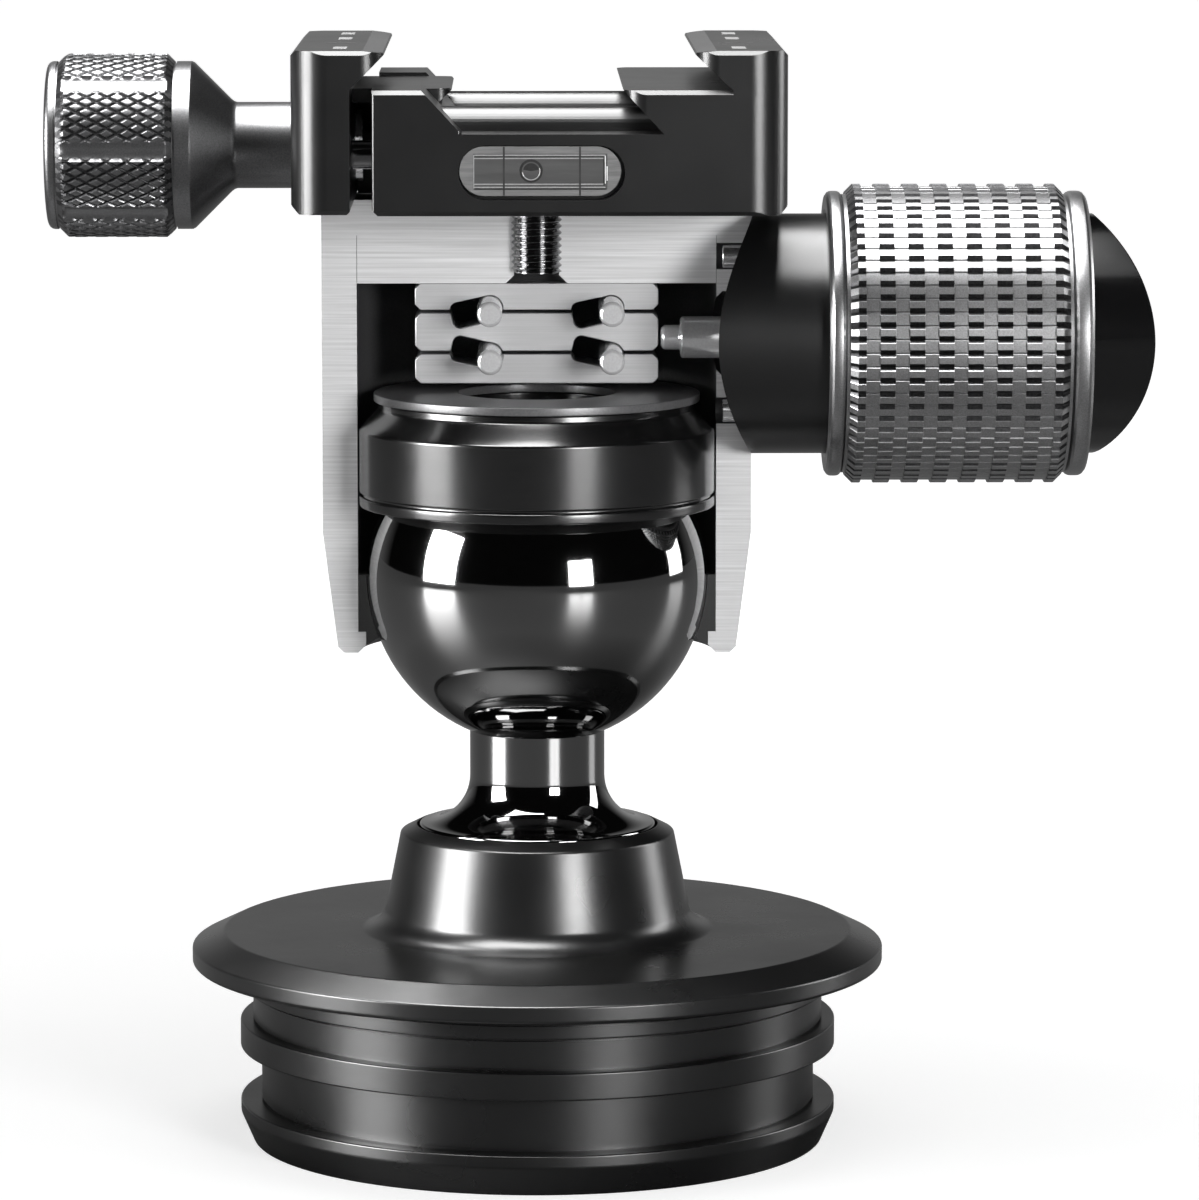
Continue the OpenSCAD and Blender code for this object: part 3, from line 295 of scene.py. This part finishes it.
def welded(node):
    """The CAD mesh of a node with joined corners, to work on."""
    work = bmesh.new()
    work.from_mesh(NODES[node].data)
    bmesh.ops.remove_doubles(work, verts=work.verts, dist=WELD)
    return work


def softened(node, width_mm, limit_deg=25):
    """A copy of a CAD node with small bevels on its edges, which then stands for the node."""
    work = welded(node)
    bmesh.ops.dissolve_limit(
        work, angle_limit=math.radians(0.5), verts=work.verts, edges=work.edges)
    mesh = bpy.data.meshes.new(node + "_softened")
    work.to_mesh(mesh)
    work.free()
    shade(mesh, limit_deg)
    obj = new_object(node + "_softened", mesh, SLOT_OF[node], BODY_OF[node])
    bevel = obj.modifiers.new("edges", "BEVEL")
    bevel.width = width_mm * MM
    bevel.segments = 2
    bevel.limit_method = "ANGLE"
    bevel.angle_limit = math.radians(limit_deg)
    even_normals(obj)
    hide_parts(node)


def half_profile(node):
    """The (radius, height) outline of a round node where it meets the plane y = 0, in order."""
    work = welded(node)
    bmesh.ops.bisect_plane(
        work, geom=work.verts[:] + work.edges[:] + work.faces[:], dist=1e-7, plane_co=(0, 0, 0),
        plane_no=(0, 1, 0), clear_inner=True, clear_outer=True)
    bmesh.ops.remove_doubles(work, verts=work.verts, dist=2 * WELD)
    axis_slack = -0.001 * MM
    links = {}
    for edge in work.edges:
        a, b = edge.verts
        if a.co.x > axis_slack and b.co.x > axis_slack:
            links.setdefault(a.index, []).append(b.index)
            links.setdefault(b.index, []).append(a.index)
    places = [(max(0, v.co.x), v.co.z) for v in work.verts]
    work.free()
    ends = [v for v, near in links.items() if len(near) == 1]
    closed = not ends
    here = min(ends or links, key=lambda v: (places[v][1], places[v][0]))
    order = [here]
    seen = {here}
    while True:
        ahead = [v for v in links[here] if v not in seen]
        if not ahead:
            break
        here = ahead[0]
        seen.add(here)
        order.append(here)
    return [places[v] for v in order], closed


def filleted(points, closed, width, relief, limit_deg=20):
    """Cuts small arcs into the corners of an outline, and a relief into the wall at square inner corners."""
    square_deg = 80
    most = 0.4
    count = len(points)
    result = []
    for i, p in enumerate(points):
        if not closed and i in (0, count - 1):
            result.append(p)
            continue
        here = Vector(p)
        back = Vector(points[i - 1]) - here
        ahead = Vector(points[(i + 1) % count]) - here
        turn = math.degrees(math.pi - back.angle(ahead))
        if turn < limit_deg:
            result.append(p)
            continue
        if relief and turn > square_deg and ahead.cross(back) < 0:
            inward = Vector((-relief, 0))
            wall = max(back, ahead, key=lambda side: abs(side.y)).normalized() * relief
            nick = [here, here + inward, here + inward + wall, here + wall]
            result += [tuple(spot) for spot in (nick if abs(ahead.y) > abs(ahead.x) else nick[::-1])]
            continue
        size = min(width, most * back.length, most * ahead.length)
        start = here + back.normalized() * size
        end = here + ahead.normalized() * size
        for t in (0, 0.25, 0.5, 0.75, 1):
            spot = start * (1 - t) ** 2 + here * 2 * t * (1 - t) + end * t ** 2
            result.append((spot.x, spot.y))
    return result


def respun(node, width_mm, relief_mm, steps=256):
    """A round node turned anew from its outline, with rounded corners, which then stands for the node."""
    points, closed = half_profile(node)
    points = filleted(points, closed, width_mm * MM, relief_mm * MM)
    if closed:
        points.append(points[0])
    verts = []
    for r, z in points:
        for j in range(steps):
            a = j * FULL_TURN / steps
            verts.append((r * math.cos(a), r * math.sin(a), z))
    mesh = bpy.data.meshes.new(node + "_respun")
    mesh.from_pydata(verts, [], grid_faces(len(points), steps))
    tidied(mesh)
    shade(mesh, 40)
    obj = new_object(node + "_respun", mesh, SLOT_OF[node], BODY_OF[node])
    even_normals(obj)
    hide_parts(node)


def grid_faces(rows, columns):
    """Faces of a grid of rows that close round in the other direction."""
    faces = []
    for i in range(rows - 1):
        for j in range(columns):
            k = (j + 1) % columns
            faces.append((i * columns + j, (i + 1) * columns + j, (i + 1) * columns + k, i * columns + k))
    return faces


def lathe_x(name, axis_z, rows, angles, slot, body, sharp_deg, groove_shaded):
    """A surface round an axis along X. Each row is (x, function of the angle that gives a radius).
    The faces that the last function picks by row and column are painted dark as shade in the grooves."""
    verts = []
    for x, radius in rows:
        for a in angles:
            r = radius(a)
            verts.append((x, -r * math.cos(a), axis_z + r * math.sin(a)))
    mesh = bpy.data.meshes.new(name)
    mesh.from_pydata(verts, [], grid_faces(len(rows), len(angles)))
    shade(mesh, sharp_deg)
    obj = new_object(name, mesh, slot, body)
    mesh.materials.append(GROOVE_SHADE)
    for face in mesh.polygons:
        face.material_index = int(groove_shaded(*divmod(face.index, len(angles))))
    return obj


def ring(x, r):
    """A plain round row of a lathe."""
    return x, lambda angle: r


def slab(name, low, high, slot, body, material):
    """A thin block between two corners."""
    mesh = bpy.data.meshes.new(name)
    work = bmesh.new()
    bmesh.ops.create_cube(work, size=1.0)
    for vert in work.verts:
        vert.co = [lo + (hi - lo) * (c + 0.5) for c, lo, hi in zip(vert.co, low, high)]
    work.to_mesh(mesh)
    work.free()
    return new_object(name, mesh, slot, body, material)


# Lock knob: lands crossed by axial V-grooves, between two beads

def lock_knob():
    low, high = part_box("lock_knob")
    boss_low, boss_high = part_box("lock_boss")
    axis_z = (low.z + high.z) / 2
    outer = (high.z - low.z) / 2
    bead = outer - 0.75 * MM
    bead_drop = 0.5 * MM
    bead_end = bead - 0.6 * MM
    relief = 0.35 * MM
    cavity = (boss_high.z - boss_low.z) / 2 + 0.25 * MM
    mouth = 0.25 * MM
    hub_x = boss_high.x + 2.35 * MM
    hub_bore = 3.6 * MM
    cap_bore = 11.02 * MM
    grip0 = low.x + 2.15 * MM
    grip1 = high.x - 2.55 * MM
    grooves = 7
    groove_w = 1.48 * MM
    land_w = (grip1 - grip0 - grooves * groove_w) / (grooves + 1)
    ring_depth = 0.3 * MM
    tooth_depth = 0.42 * MM
    teeth = 68
    chamfer = 0.8 * MM
    wall = 0.03 * MM
    # Shares of a tooth's pitch
    half_groove = 0.27
    floor_phase = half_groove * (1 - ring_depth / tooth_depth)
    rim = 0.05
    phases = (0, 0.5 - half_groove, 0.5 - half_groove + rim, 0.5 - floor_phase, 0.5, 0.5 + floor_phase,
              0.5 + half_groove)
    angles = [(tooth + phase) * FULL_TURN / teeth for tooth in range(teeth) for phase in phases]

    def toothed(top):
        def radius(angle):
            off = abs(angle * teeth / FULL_TURN % 1 - 0.5)
            return min(top, outer - tooth_depth * max(0, 1 - off / half_groove))
        return radius

    def bead_rows(x0, x1):
        middle = (x0 + x1) / 2
        half = (x1 - x0) / 2
        rows = []
        for step in range(9):
            t = -1 + step / 4
            rows.append(ring(middle + half * t, bead - bead_drop * t ** 4))
        return rows

    rows = [ring(hub_x, hub_bore), ring(hub_x, cavity), ring(low.x + mouth, cavity),
            ring(low.x, cavity + mouth), ring(low.x, bead_end)]
    rows += bead_rows(low.x, grip0 - relief)
    rows += [ring(grip0 - relief, bead - relief), ring(grip0, bead - relief)]
    rows += [(grip0, toothed(outer - chamfer)), (grip0 + chamfer, toothed(outer))]
    lands = {len(rows) - 2}
    for i in range(grooves):
        lands.add(len(rows) - 1)
        start = grip0 + (i + 1) * land_w + i * groove_w
        rows += [(start, toothed(outer)), (start + wall, toothed(outer - ring_depth)),
                 (start + groove_w - wall, toothed(outer - ring_depth)), (start + groove_w, toothed(outer))]
    lands |= {len(rows) - 1, len(rows)}
    rows += [(grip1 - chamfer, toothed(outer)), (grip1, toothed(outer - chamfer))]
    rows += [ring(grip1, bead - relief), ring(grip1 + relief, bead - relief)]
    rows += bead_rows(grip1 + relief, high.x)
    rows += [ring(high.x, bead_end), ring(high.x, cap_bore)]
    # Faces inside the V-grooves on the lands are painted dark as shade
    obj = lathe_x("lock_knob_knurled", axis_z, rows, angles, "knob_silver", BODY_OF["lock_knob"], 15,
                  lambda row, column: row in lands and 1 < column % len(phases) < len(phases) - 1)
    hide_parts("lock_knob")


# Clamp knob: diamond knurl, ball-ended flutes, plain rims, cone and neck

def clamp_knob():
    low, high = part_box("clamp_knob")
    spindle_low, spindle_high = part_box("clamp_spindle")
    axis_z = (spindle_low.z + spindle_high.z) / 2
    outer = 9.92 * MM
    rim = outer - 0.87 * MM
    rim_r = 0.7 * MM
    centre = 0.05 * MM
    neck = 4.65 * MM
    neck_bore = 2.32 * MM
    grip0 = low.x + 1.3 * MM
    grip1 = grip0 + 12.4 * MM
    cone0 = grip1 + 2.0 * MM
    cone1 = cone0 + rim - neck
    shoulder = 0.15 * MM
    fillet = 0.3 * MM
    fillet_rise = 0.09 * MM
    around = 52
    pitch = 2.2 * MM
    steps = 12
    depth = 0.3 * MM
    # Share of a groove's pitch
    half_groove = 0.19
    # Share of the knurl's depth from which a face is painted dark as shade
    shade_from = 0.1
    flutes = 8
    flute_r = 2.1 * MM
    flute_axis = outer + flute_r - 0.44 * MM
    end_in = 1.1 * MM
    line = 0.25 * MM
    angles = [i * FULL_TURN / (around * steps) for i in range(around * steps)]

    def groove(turns):
        return max(0, 1 - abs(turns % 1 - 0.5) / half_groove)

    def fluted(angle, x, r):
        beyond = max(0, grip0 + end_in - x, x - grip1 + end_in)
        if beyond >= flute_r:
            return r
        reach = math.sqrt(flute_r ** 2 - beyond ** 2)
        sector = FULL_TURN / flutes
        off = (angle + sector / 2) % sector - sector / 2
        across = flute_axis * math.sin(off)
        if abs(across) >= reach:
            return r
        return min(r, flute_axis * math.cos(off) - math.sqrt(reach ** 2 - across ** 2))

    def crossing(angle, x):
        turns = angle * around / FULL_TURN
        along = (x - grip0) / pitch
        return max(groove(turns + along), groove(turns - along))

    def grip_row(x):
        edge = min(outer, rim + min(x - grip0, grip1 - x))
        return x, lambda angle: fluted(angle, x, min(edge, outer - depth * crossing(angle, x)))

    # Faces in the crossing grooves, off the flutes, are painted dark as shade
    def groove_shaded(row, column):
        if not first_grip <= row < first_grip + count:
            return False
        x = (rows[row][0] + rows[row + 1][0]) / 2
        angle = angles[column] + angles[1] / 2
        return crossing(angle, x) > shade_from and fluted(angle, x, outer) == outer

    rows = [ring(low.x, centre), ring(low.x, rim - rim_r)]
    rows += [ring(low.x + rim_r * (1 - math.sin(t)), rim - rim_r * (1 - math.cos(t)))
             for t in (math.radians(a) for a in (75, 60, 45, 30, 15, 0))]
    rows += [ring(grip0 - line, rim), ring(grip0 - line, rim - line), ring(grip0, rim - line)]
    count = round((grip1 - grip0) / (pitch / steps))
    first_grip = len(rows)
    rows += [grip_row(grip0 + (grip1 - grip0) * i / count) for i in range(count + 1)]
    rows += [ring(grip1, rim - line), ring(grip1 + line, rim - line), ring(grip1 + line, rim)]
    rows += [ring(cone0 - shoulder, rim), ring(cone0 + shoulder, rim - shoulder)]
    rows += [ring(cone1 - fillet, neck + fillet), ring(cone1, neck + fillet_rise), ring(cone1 + fillet, neck),
             ring(high.x, neck), ring(high.x, neck_bore)]
    obj = lathe_x("clamp_knob_knurled", axis_z, rows, angles, "knob_grey", BODY_OF["clamp_knob"], 20, groove_shaded)
    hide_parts("clamp_knob")


# Thread on the clamp bolt, seen in front of the sawn cap

def bolt_thread():
    low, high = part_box("clamp_bolt")
    bottom = low.z + 0.1 * MM
    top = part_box("clamp_body")[0].z - 0.05 * MM
    pitch = 0.705 * MM
    root = 2.41 * MM
    crest = 2.73 * MM
    # Share of the pitch
    flat = 0.12
    columns = 48
    per_turn = 16
    count = int((top - bottom) / pitch * per_turn)
    verts = []
    for i in range(count + 1):
        z = bottom + (top - bottom) * i / count
        for j in range(columns):
            a = j * FULL_TURN / columns
            phase = abs((z / pitch - j / columns) % 1 - 0.5) * 2
            r = root + (crest - root) * min(1, max(0, phase / (1 - flat)))
            verts.append((r * math.cos(a), r * math.sin(a), z))
    mesh = bpy.data.meshes.new("bolt_thread")
    mesh.from_pydata(verts, [], grid_faces(count + 1, columns))
    shade(mesh, 30)
    new_object("bolt_thread", mesh, "bolt_black", "head")


# Spirit level: the vial seen through the window, index lines and bubble

def patches(name, shapes, y, slot, body, material):
    """Flat shapes that face the front, each a list of (x, z) points."""
    verts = []
    faces = []
    for points in shapes:
        faces.append(range(len(verts), len(verts) + len(points)))
        verts += [(x, y, z) for x, z in points]
    mesh = bpy.data.meshes.new(name)
    mesh.from_pydata(verts, [], faces)
    return new_object(name, mesh, slot, body, material)


def level():
    """Drawn in layers on the window: the fluid, painted highlights on the vial's walls and the bubble's lower
    rim, painted shade along the vial and round the bubble, painted glints and the printed index lines. Places
    are in mm from its middle.
    """
    low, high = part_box("level_window")
    middle_x = (low.x + high.x) / 2
    middle_z = (low.z + high.z) / 2
    skin = 0.012 * MM
    bubble_x = -0.95
    left = -6.9
    right = 6.8
    inner_right = 6.7
    line_places = (-3.79, 4.15)
    line_half_w = 0.1
    line_half_h = 2.55
    arc_steps = 24

    def area(x0, z0, x1, z1):
        x0, x1 = (middle_x + x * MM for x in (x0, x1))
        z0, z1 = (middle_z + z * MM for z in (z0, z1))
        return [(x0, z0), (x1, z0), (x1, z1), (x0, z1)]

    def bubble_arc(inner, outer, first, last):
        turns = [math.radians(first + (last - first) * i / arc_steps) for i in range(arc_steps + 1)]
        rim = [(outer, t) for t in turns] + [(inner, t) for t in reversed(turns)]
        return [(middle_x + (bubble_x + r * math.cos(t)) * MM, middle_z + r * math.sin(t) * MM)
                for r, t in rim]

    def layer(name, depth, material, shapes):
        patches("level_" + name, shapes, low.y - depth * skin, "vial_glass", "head", material)

    layer("fluid", 1, LEVEL_FLUID, [area(-7.0, -1.9, 7.0, 1.82)])
    # Painted highlights along the vial's walls and left end, and on the bubble's lower rim
    layer("wall_highlights", 2, LEVEL_HIGHLIGHT, [
        area(left, 1.6, right, 1.72), area(left, 1.28, inner_right, 1.4),
        area(left, -1.42, inner_right, -1.3), area(left, -1.74, right, -1.62),
        area(-6.98, -1.8, -6.88, 1.7), bubble_arc(0.86, 0.97, 185, 350)])
    # Painted shade below and along the vial, at its right end, round the bubble and over the bubble's upper
    # half
    layer("shade", 3, LEVEL_SHADE, [
        area(left, -1.94, 6.9, -1.8), area(left, 1.42, 6.75, 1.54), area(6.59, -1.5, inner_right, 1.5),
        bubble_arc(0.98, 1.24, 0, 180), bubble_arc(0.98, 1.2, 180, 360), bubble_arc(0.0, 0.84, 10, 170)])
    # Painted glints at the vial's right end and on the bubble's rim
    layer("glints", 4, LEVEL_GLINT, [
        area(6.74, -1.3, 6.84, 1.6), area(6.92, -1.0, 7.02, 0.5), bubble_arc(0.88, 0.95, -30, 20),
        bubble_arc(0.88, 0.95, 190, 215)])
    layer("lines", 5, PAINT_BLACK, [
        area(x - line_half_w, -line_half_h, x + line_half_w, line_half_h) for x in line_places])


# Generic ticks on the tops of the jaws, the paler edges of the lips and the closed root of the fixed lip

FIXED_LIP = 16.56 * MM
MOVING_LIP = -15.97 * MM


def jaw_ticks():
    rise = 0.02 * MM
    tick = Vector((1.45, 4.5)) * MM
    fine = Vector((3.6, 0.5)) * MM
    jaw_inset = 5.1 * MM
    body_inset = 5.05 * MM
    marks = ((17 * MM, tick, PAINT_WHITE), (5 * MM, tick, PAINT_WHITE), (-6 * MM, fine, PAINT_GREY),
             (-17 * MM, tick, PAINT_WHITE))
    jaw_low, jaw_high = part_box("clamp_jaw")
    body_low, body_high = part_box("clamp_body")
    rows = (("clamp_jaw", jaw_low.x + jaw_inset, jaw_high.z), ("head", body_high.x - body_inset, body_high.z))
    for body, x, z in rows:
        for i, (y, size, paint) in enumerate(marks):
            slab(f"tick_{body}_{i}", (x - size.x / 2, y - size.y / 2, z - rise),
                 (x + size.x / 2, y + size.y / 2, z + rise), "clamp_black", body, paint)


def lip_edges():
    bevel_w = 2.2 * MM
    bevel_h = 0.25 * MM
    lip_end = 2.6 * MM
    top_end = 0.5 * MM
    over = 0.012 * MM
    lip = 0.15 * MM
    jaw_low, jaw_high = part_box("clamp_jaw")
    body_low, body_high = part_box("clamp_body")
    sides = (("clamp_jaw", MOVING_LIP - lip, MOVING_LIP - bevel_w, jaw_low.y, jaw_high.z),
             ("head", FIXED_LIP + lip, FIXED_LIP + bevel_w, body_low.y, body_high.z))
    for body, lip_x, top_x, y, top in sides:
        z = top + over
        verts = [(lip_x, y + lip_end, z - bevel_h), (top_x, y + top_end, z), (top_x, -y - top_end, z),
                 (lip_x, -y - lip_end, z - bevel_h)]
        mesh = bpy.data.meshes.new("lip_edge_" + body)
        mesh.from_pydata(verts, [], [(0, 1, 2, 3) if lip_x < top_x else (3, 2, 1, 0)])
        new_object("lip_edge_" + body, mesh, "clamp_black", body, LIP_EDGE)


def lip_root():
    """Closes the body's edge chamfer below the fixed lip, so that both end faces run through."""
    low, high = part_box("clamp_body")
    lip_rise = 4.1 * MM
    lip_blunt = 0.2 * MM
    chamfer = 0.45 * MM
    corner = 4 * MM
    corner_deg = 30
    corner_steps = 8
    lap = 0.15 * MM
    over = 0.004 * MM
    inner = high.y - 0.6 * MM
    bottom = high.z - lip_rise - chamfer - lap
    top = high.z - lip_rise + lap
    outline = [(FIXED_LIP + lip_rise - lip_blunt, high.y + over)]
    for step in range(corner_steps + 1):
        turn = math.radians(corner_deg) * step / corner_steps
        outline.append((high.x - corner + (corner + over) * math.sin(turn),
                        high.y - corner + (corner + over) * math.cos(turn)))
    for end, side in (("front", -1), ("rear", 1)):
        verts = []
        for x, y in outline:
            verts += [(x, side * y, bottom), (x, side * y, top), (x, side * inner, top),
                      (x, side * inner, bottom)]
        caps = [range(4), range(len(verts) - 4, len(verts))]
        mesh = bpy.data.meshes.new("lip_root_" + end)
        mesh.from_pydata(verts, [], grid_faces(len(outline), 4) + caps)
        tidied(mesh)
        shade(mesh, 30)
        new_object("lip_root_" + end, mesh, "clamp_black", "head")


# Floor, light and camera

FLOOR_SIZE = 4.0
FLOOR_GRAIN = 40
# Strength of the pale floor and backdrop in the part's reflections
FLOOR_GLOW = 0.17
BACK_GLOW = 0.4
# Distances from the part, in metres, over which the floor's glow and its white rise
GLOW_RANGE = (0.04, 0.11)
WHITE_RANGE = (0.08, 0.4)
# Shares of a ray's direction over which the backdrop's glow rises to the back and fades upward
BACK_RANGE = (0.5, 0.9)
UP_RANGE = (0.15, 0.4)
DIM_WORLD = 0.005
CAMERA_PLACE_MM = (-1.85, -700, 151.73)
CAMERA_DOWN_DEG = 7.525
CAMERA_TURN_DEG = -0.709
CAMERA_LENS = 194.22
CAMERA_SENSOR = 36


def shown(tree, plain, seen, output):
    """Shows one shader to the camera and hands all other rays to another."""
    path = add(tree, "ShaderNodeLightPath")
    mix = add(tree, "ShaderNodeMixShader")
    tree.links.new(path.outputs["Is Camera Ray"], mix.inputs["Fac"])
    tree.links.new(plain, mix.inputs[1])
    tree.links.new(seen, mix.inputs[2])
    tree.links.new(mix.outputs["Shader"], tree.nodes[output].inputs["Surface"])


def mirrored(tree, plain, strength):
    """Adds a grey of a given strength to a shader where glossy rays see it."""
    path = add(tree, "ShaderNodeLightPath")
    seen = add(tree, "ShaderNodeMath", operation="MULTIPLY")
    both = add(tree, "ShaderNodeAddShader")
    glow = add(tree, "ShaderNodeEmission", {"Color": (1, 1, 1, 1)})
    tree.links.new(strength, seen.inputs[0])
    tree.links.new(path.outputs["Is Glossy Ray"], seen.inputs[1])
    tree.links.new(seen.outputs["Value"], glow.inputs["Strength"])
    tree.links.new(plain, both.inputs[0])
    tree.links.new(glow.outputs["Emission"], both.inputs[1])
    return both.outputs["Shader"]


def floor():
    """White to the camera, with the part's shadow, and dark to all other rays but for its mirrored glow."""
    mesh = bpy.data.meshes.new("floor")
    corners = [(-1, -1), (1, -1), (1, 1), (-1, 1)]
    mesh.from_pydata([(x * FLOOR_SIZE, y * FLOOR_SIZE, 0) for x, y in corners], [], [(0, 1, 2, 3)])
    obj = bpy.data.objects.new("floor", mesh)
    bpy.context.scene.collection.objects.link(obj)
    material, tree, shader = new_tree("floor_white")
    fleck = grain(tree, FLOOR_GRAIN)
    tree.links.new(tint(tree, fleck, grey(0.03), grey(0.04)), shader.inputs["Base Color"])
    shader.inputs["Roughness"].default_value = 0.4
    place = add(tree, "ShaderNodeTexCoord")
    away = add(tree, "ShaderNodeVectorMath", operation="LENGTH")
    tree.links.new(place.outputs["Object"], away.inputs[0])
    # The glow is off near the part: a painted shadow round its foot, seen in its reflections
    strength = spread(tree, away.outputs["Value"], 0.0, FLOOR_GLOW, *GLOW_RANGE)
    pale = add(tree, "ShaderNodeBsdfDiffuse", {"Color": (0.5, 0.5, 0.5, 1)})
    white = add(tree, "ShaderNodeEmission", {"Color": (1, 1, 1, 1)})
    lit = add(tree, "ShaderNodeAddShader")
    tree.links.new(spread(tree, away.outputs["Value"], 0.7, 1.0, *WHITE_RANGE), white.inputs["Strength"])
    tree.links.new(pale.outputs["BSDF"], lit.inputs[0])
    tree.links.new(white.outputs["Emission"], lit.inputs[1])
    shown(tree, mirrored(tree, shader.outputs["BSDF"], strength), lit.outputs["Shader"], "Material Output")
    mesh.materials.append(material)


def world():
    """White to the camera and dim to all other rays, with a mirrored glow low down behind the part."""
    scene_world = bpy.data.worlds.new("studio")
    bpy.context.scene.world = scene_world
    scene_world.use_nodes = True
    tree = scene_world.node_tree
    dim = tree.nodes["Background"]
    dim.inputs["Color"].default_value = (1, 1, 1, 1)
    dim.inputs["Strength"].default_value = DIM_WORLD
    place = add(tree, "ShaderNodeTexCoord")
    axes = add(tree, "ShaderNodeSeparateXYZ")
    tree.links.new(place.outputs["Generated"], axes.inputs["Vector"])
    behind = spread(tree, axes.outputs["Y"], 0.0, BACK_GLOW, *BACK_RANGE)
    low_down = spread(tree, axes.outputs["Z"], 1.0, 0.0, *UP_RANGE)
    strength = add(tree, "ShaderNodeMath", operation="MULTIPLY")
    tree.links.new(behind, strength.inputs[0])
    tree.links.new(low_down, strength.inputs[1])
    white = add(tree, "ShaderNodeEmission", {"Color": (1, 1, 1, 1), "Strength": 1.0})
    shown(tree, mirrored(tree, dim.outputs["Background"], strength.outputs["Value"]),
          white.outputs["Emission"], "World Output")


def softbox(name, azimuth, elevation, distance, size, radiance, glossy=True, diffuse=False):
    """An area light that looks at the middle of the part. Azimuth 0 is the camera's side, 90 the right."""
    a = math.radians(azimuth)
    e = math.radians(elevation)
    width, height = size
    middle = (cad_low + cad_high) / 2
    off = Vector((math.sin(a) * math.cos(e), -math.cos(a) * math.cos(e), math.sin(e))) * distance
    data = bpy.data.lights.new(name, "AREA")
    data.shape = "RECTANGLE"
    data.size = width
    data.size_y = height
    data.energy = radiance * math.pi * width * height
    obj = bpy.data.objects.new(name, data)
    obj.location = middle + off
    obj.rotation_euler = (-off).to_track_quat("-Z", "Y").to_euler()
    obj.visible_glossy = glossy
    obj.visible_diffuse = diffuse
    obj.visible_camera = False
    bpy.context.scene.collection.objects.link(obj)


def lights():
    """Boxes that only show as highlights, two at the right that also light, and two fills without any."""
    softbox("top", -90, 78, 0.8, (0.9, 0.56), radiance=26)
    softbox("left", -69.5, 12.3, 0.7, (0.315, 0.35), radiance=45)
    for name, azimuth in (("right_inner", 24.6), ("right_outer", 33)):
        softbox(name, azimuth, 7.2, 0.7, (0.095, 0.2), radiance=36, diffuse=True)
    softbox("far_right", 108, 14, 0.7, (0.19, 0.4), radiance=10)
    softbox("front_fill", -8, 4, 0.9, (0.5, 0.5), radiance=2.5, glossy=False, diffuse=True)
    softbox("top_fill", 0, 84, 0.8, (0.8, 0.6), radiance=3, glossy=False, diffuse=True)


def camera():
    data = bpy.data.cameras.new("camera")
    data.lens = CAMERA_LENS
    data.sensor_width = CAMERA_SENSOR
    obj = bpy.data.objects.new("camera", data)
    obj.location = [place * MM for place in CAMERA_PLACE_MM]
    obj.rotation_euler = (math.radians(90 - CAMERA_DOWN_DEG), 0, math.radians(CAMERA_TURN_DEG))
    bpy.context.scene.collection.objects.link(obj)
    bpy.context.scene.camera = obj


# The whole scene

for node_name, node in NODES.items():
    slot_name = "bolt_black" if node_name in DARK_IN_SLIT else SLOT_OF[node_name]
    node.data.materials.clear()
    node.data.materials.append(MATERIALS[slot_name])
for node_name, width in EDGE_WIDTHS:
    softened(node_name, width)
for node_name, width, relief in TURNED:
    respun(node_name, width, relief)
lock_knob()
clamp_knob()
bolt_thread()
level()
jaw_ticks()
lip_edges()
lip_root()
floor()
world()
lights()
camera()
bpy.context.scene.view_settings.view_transform = "Standard"
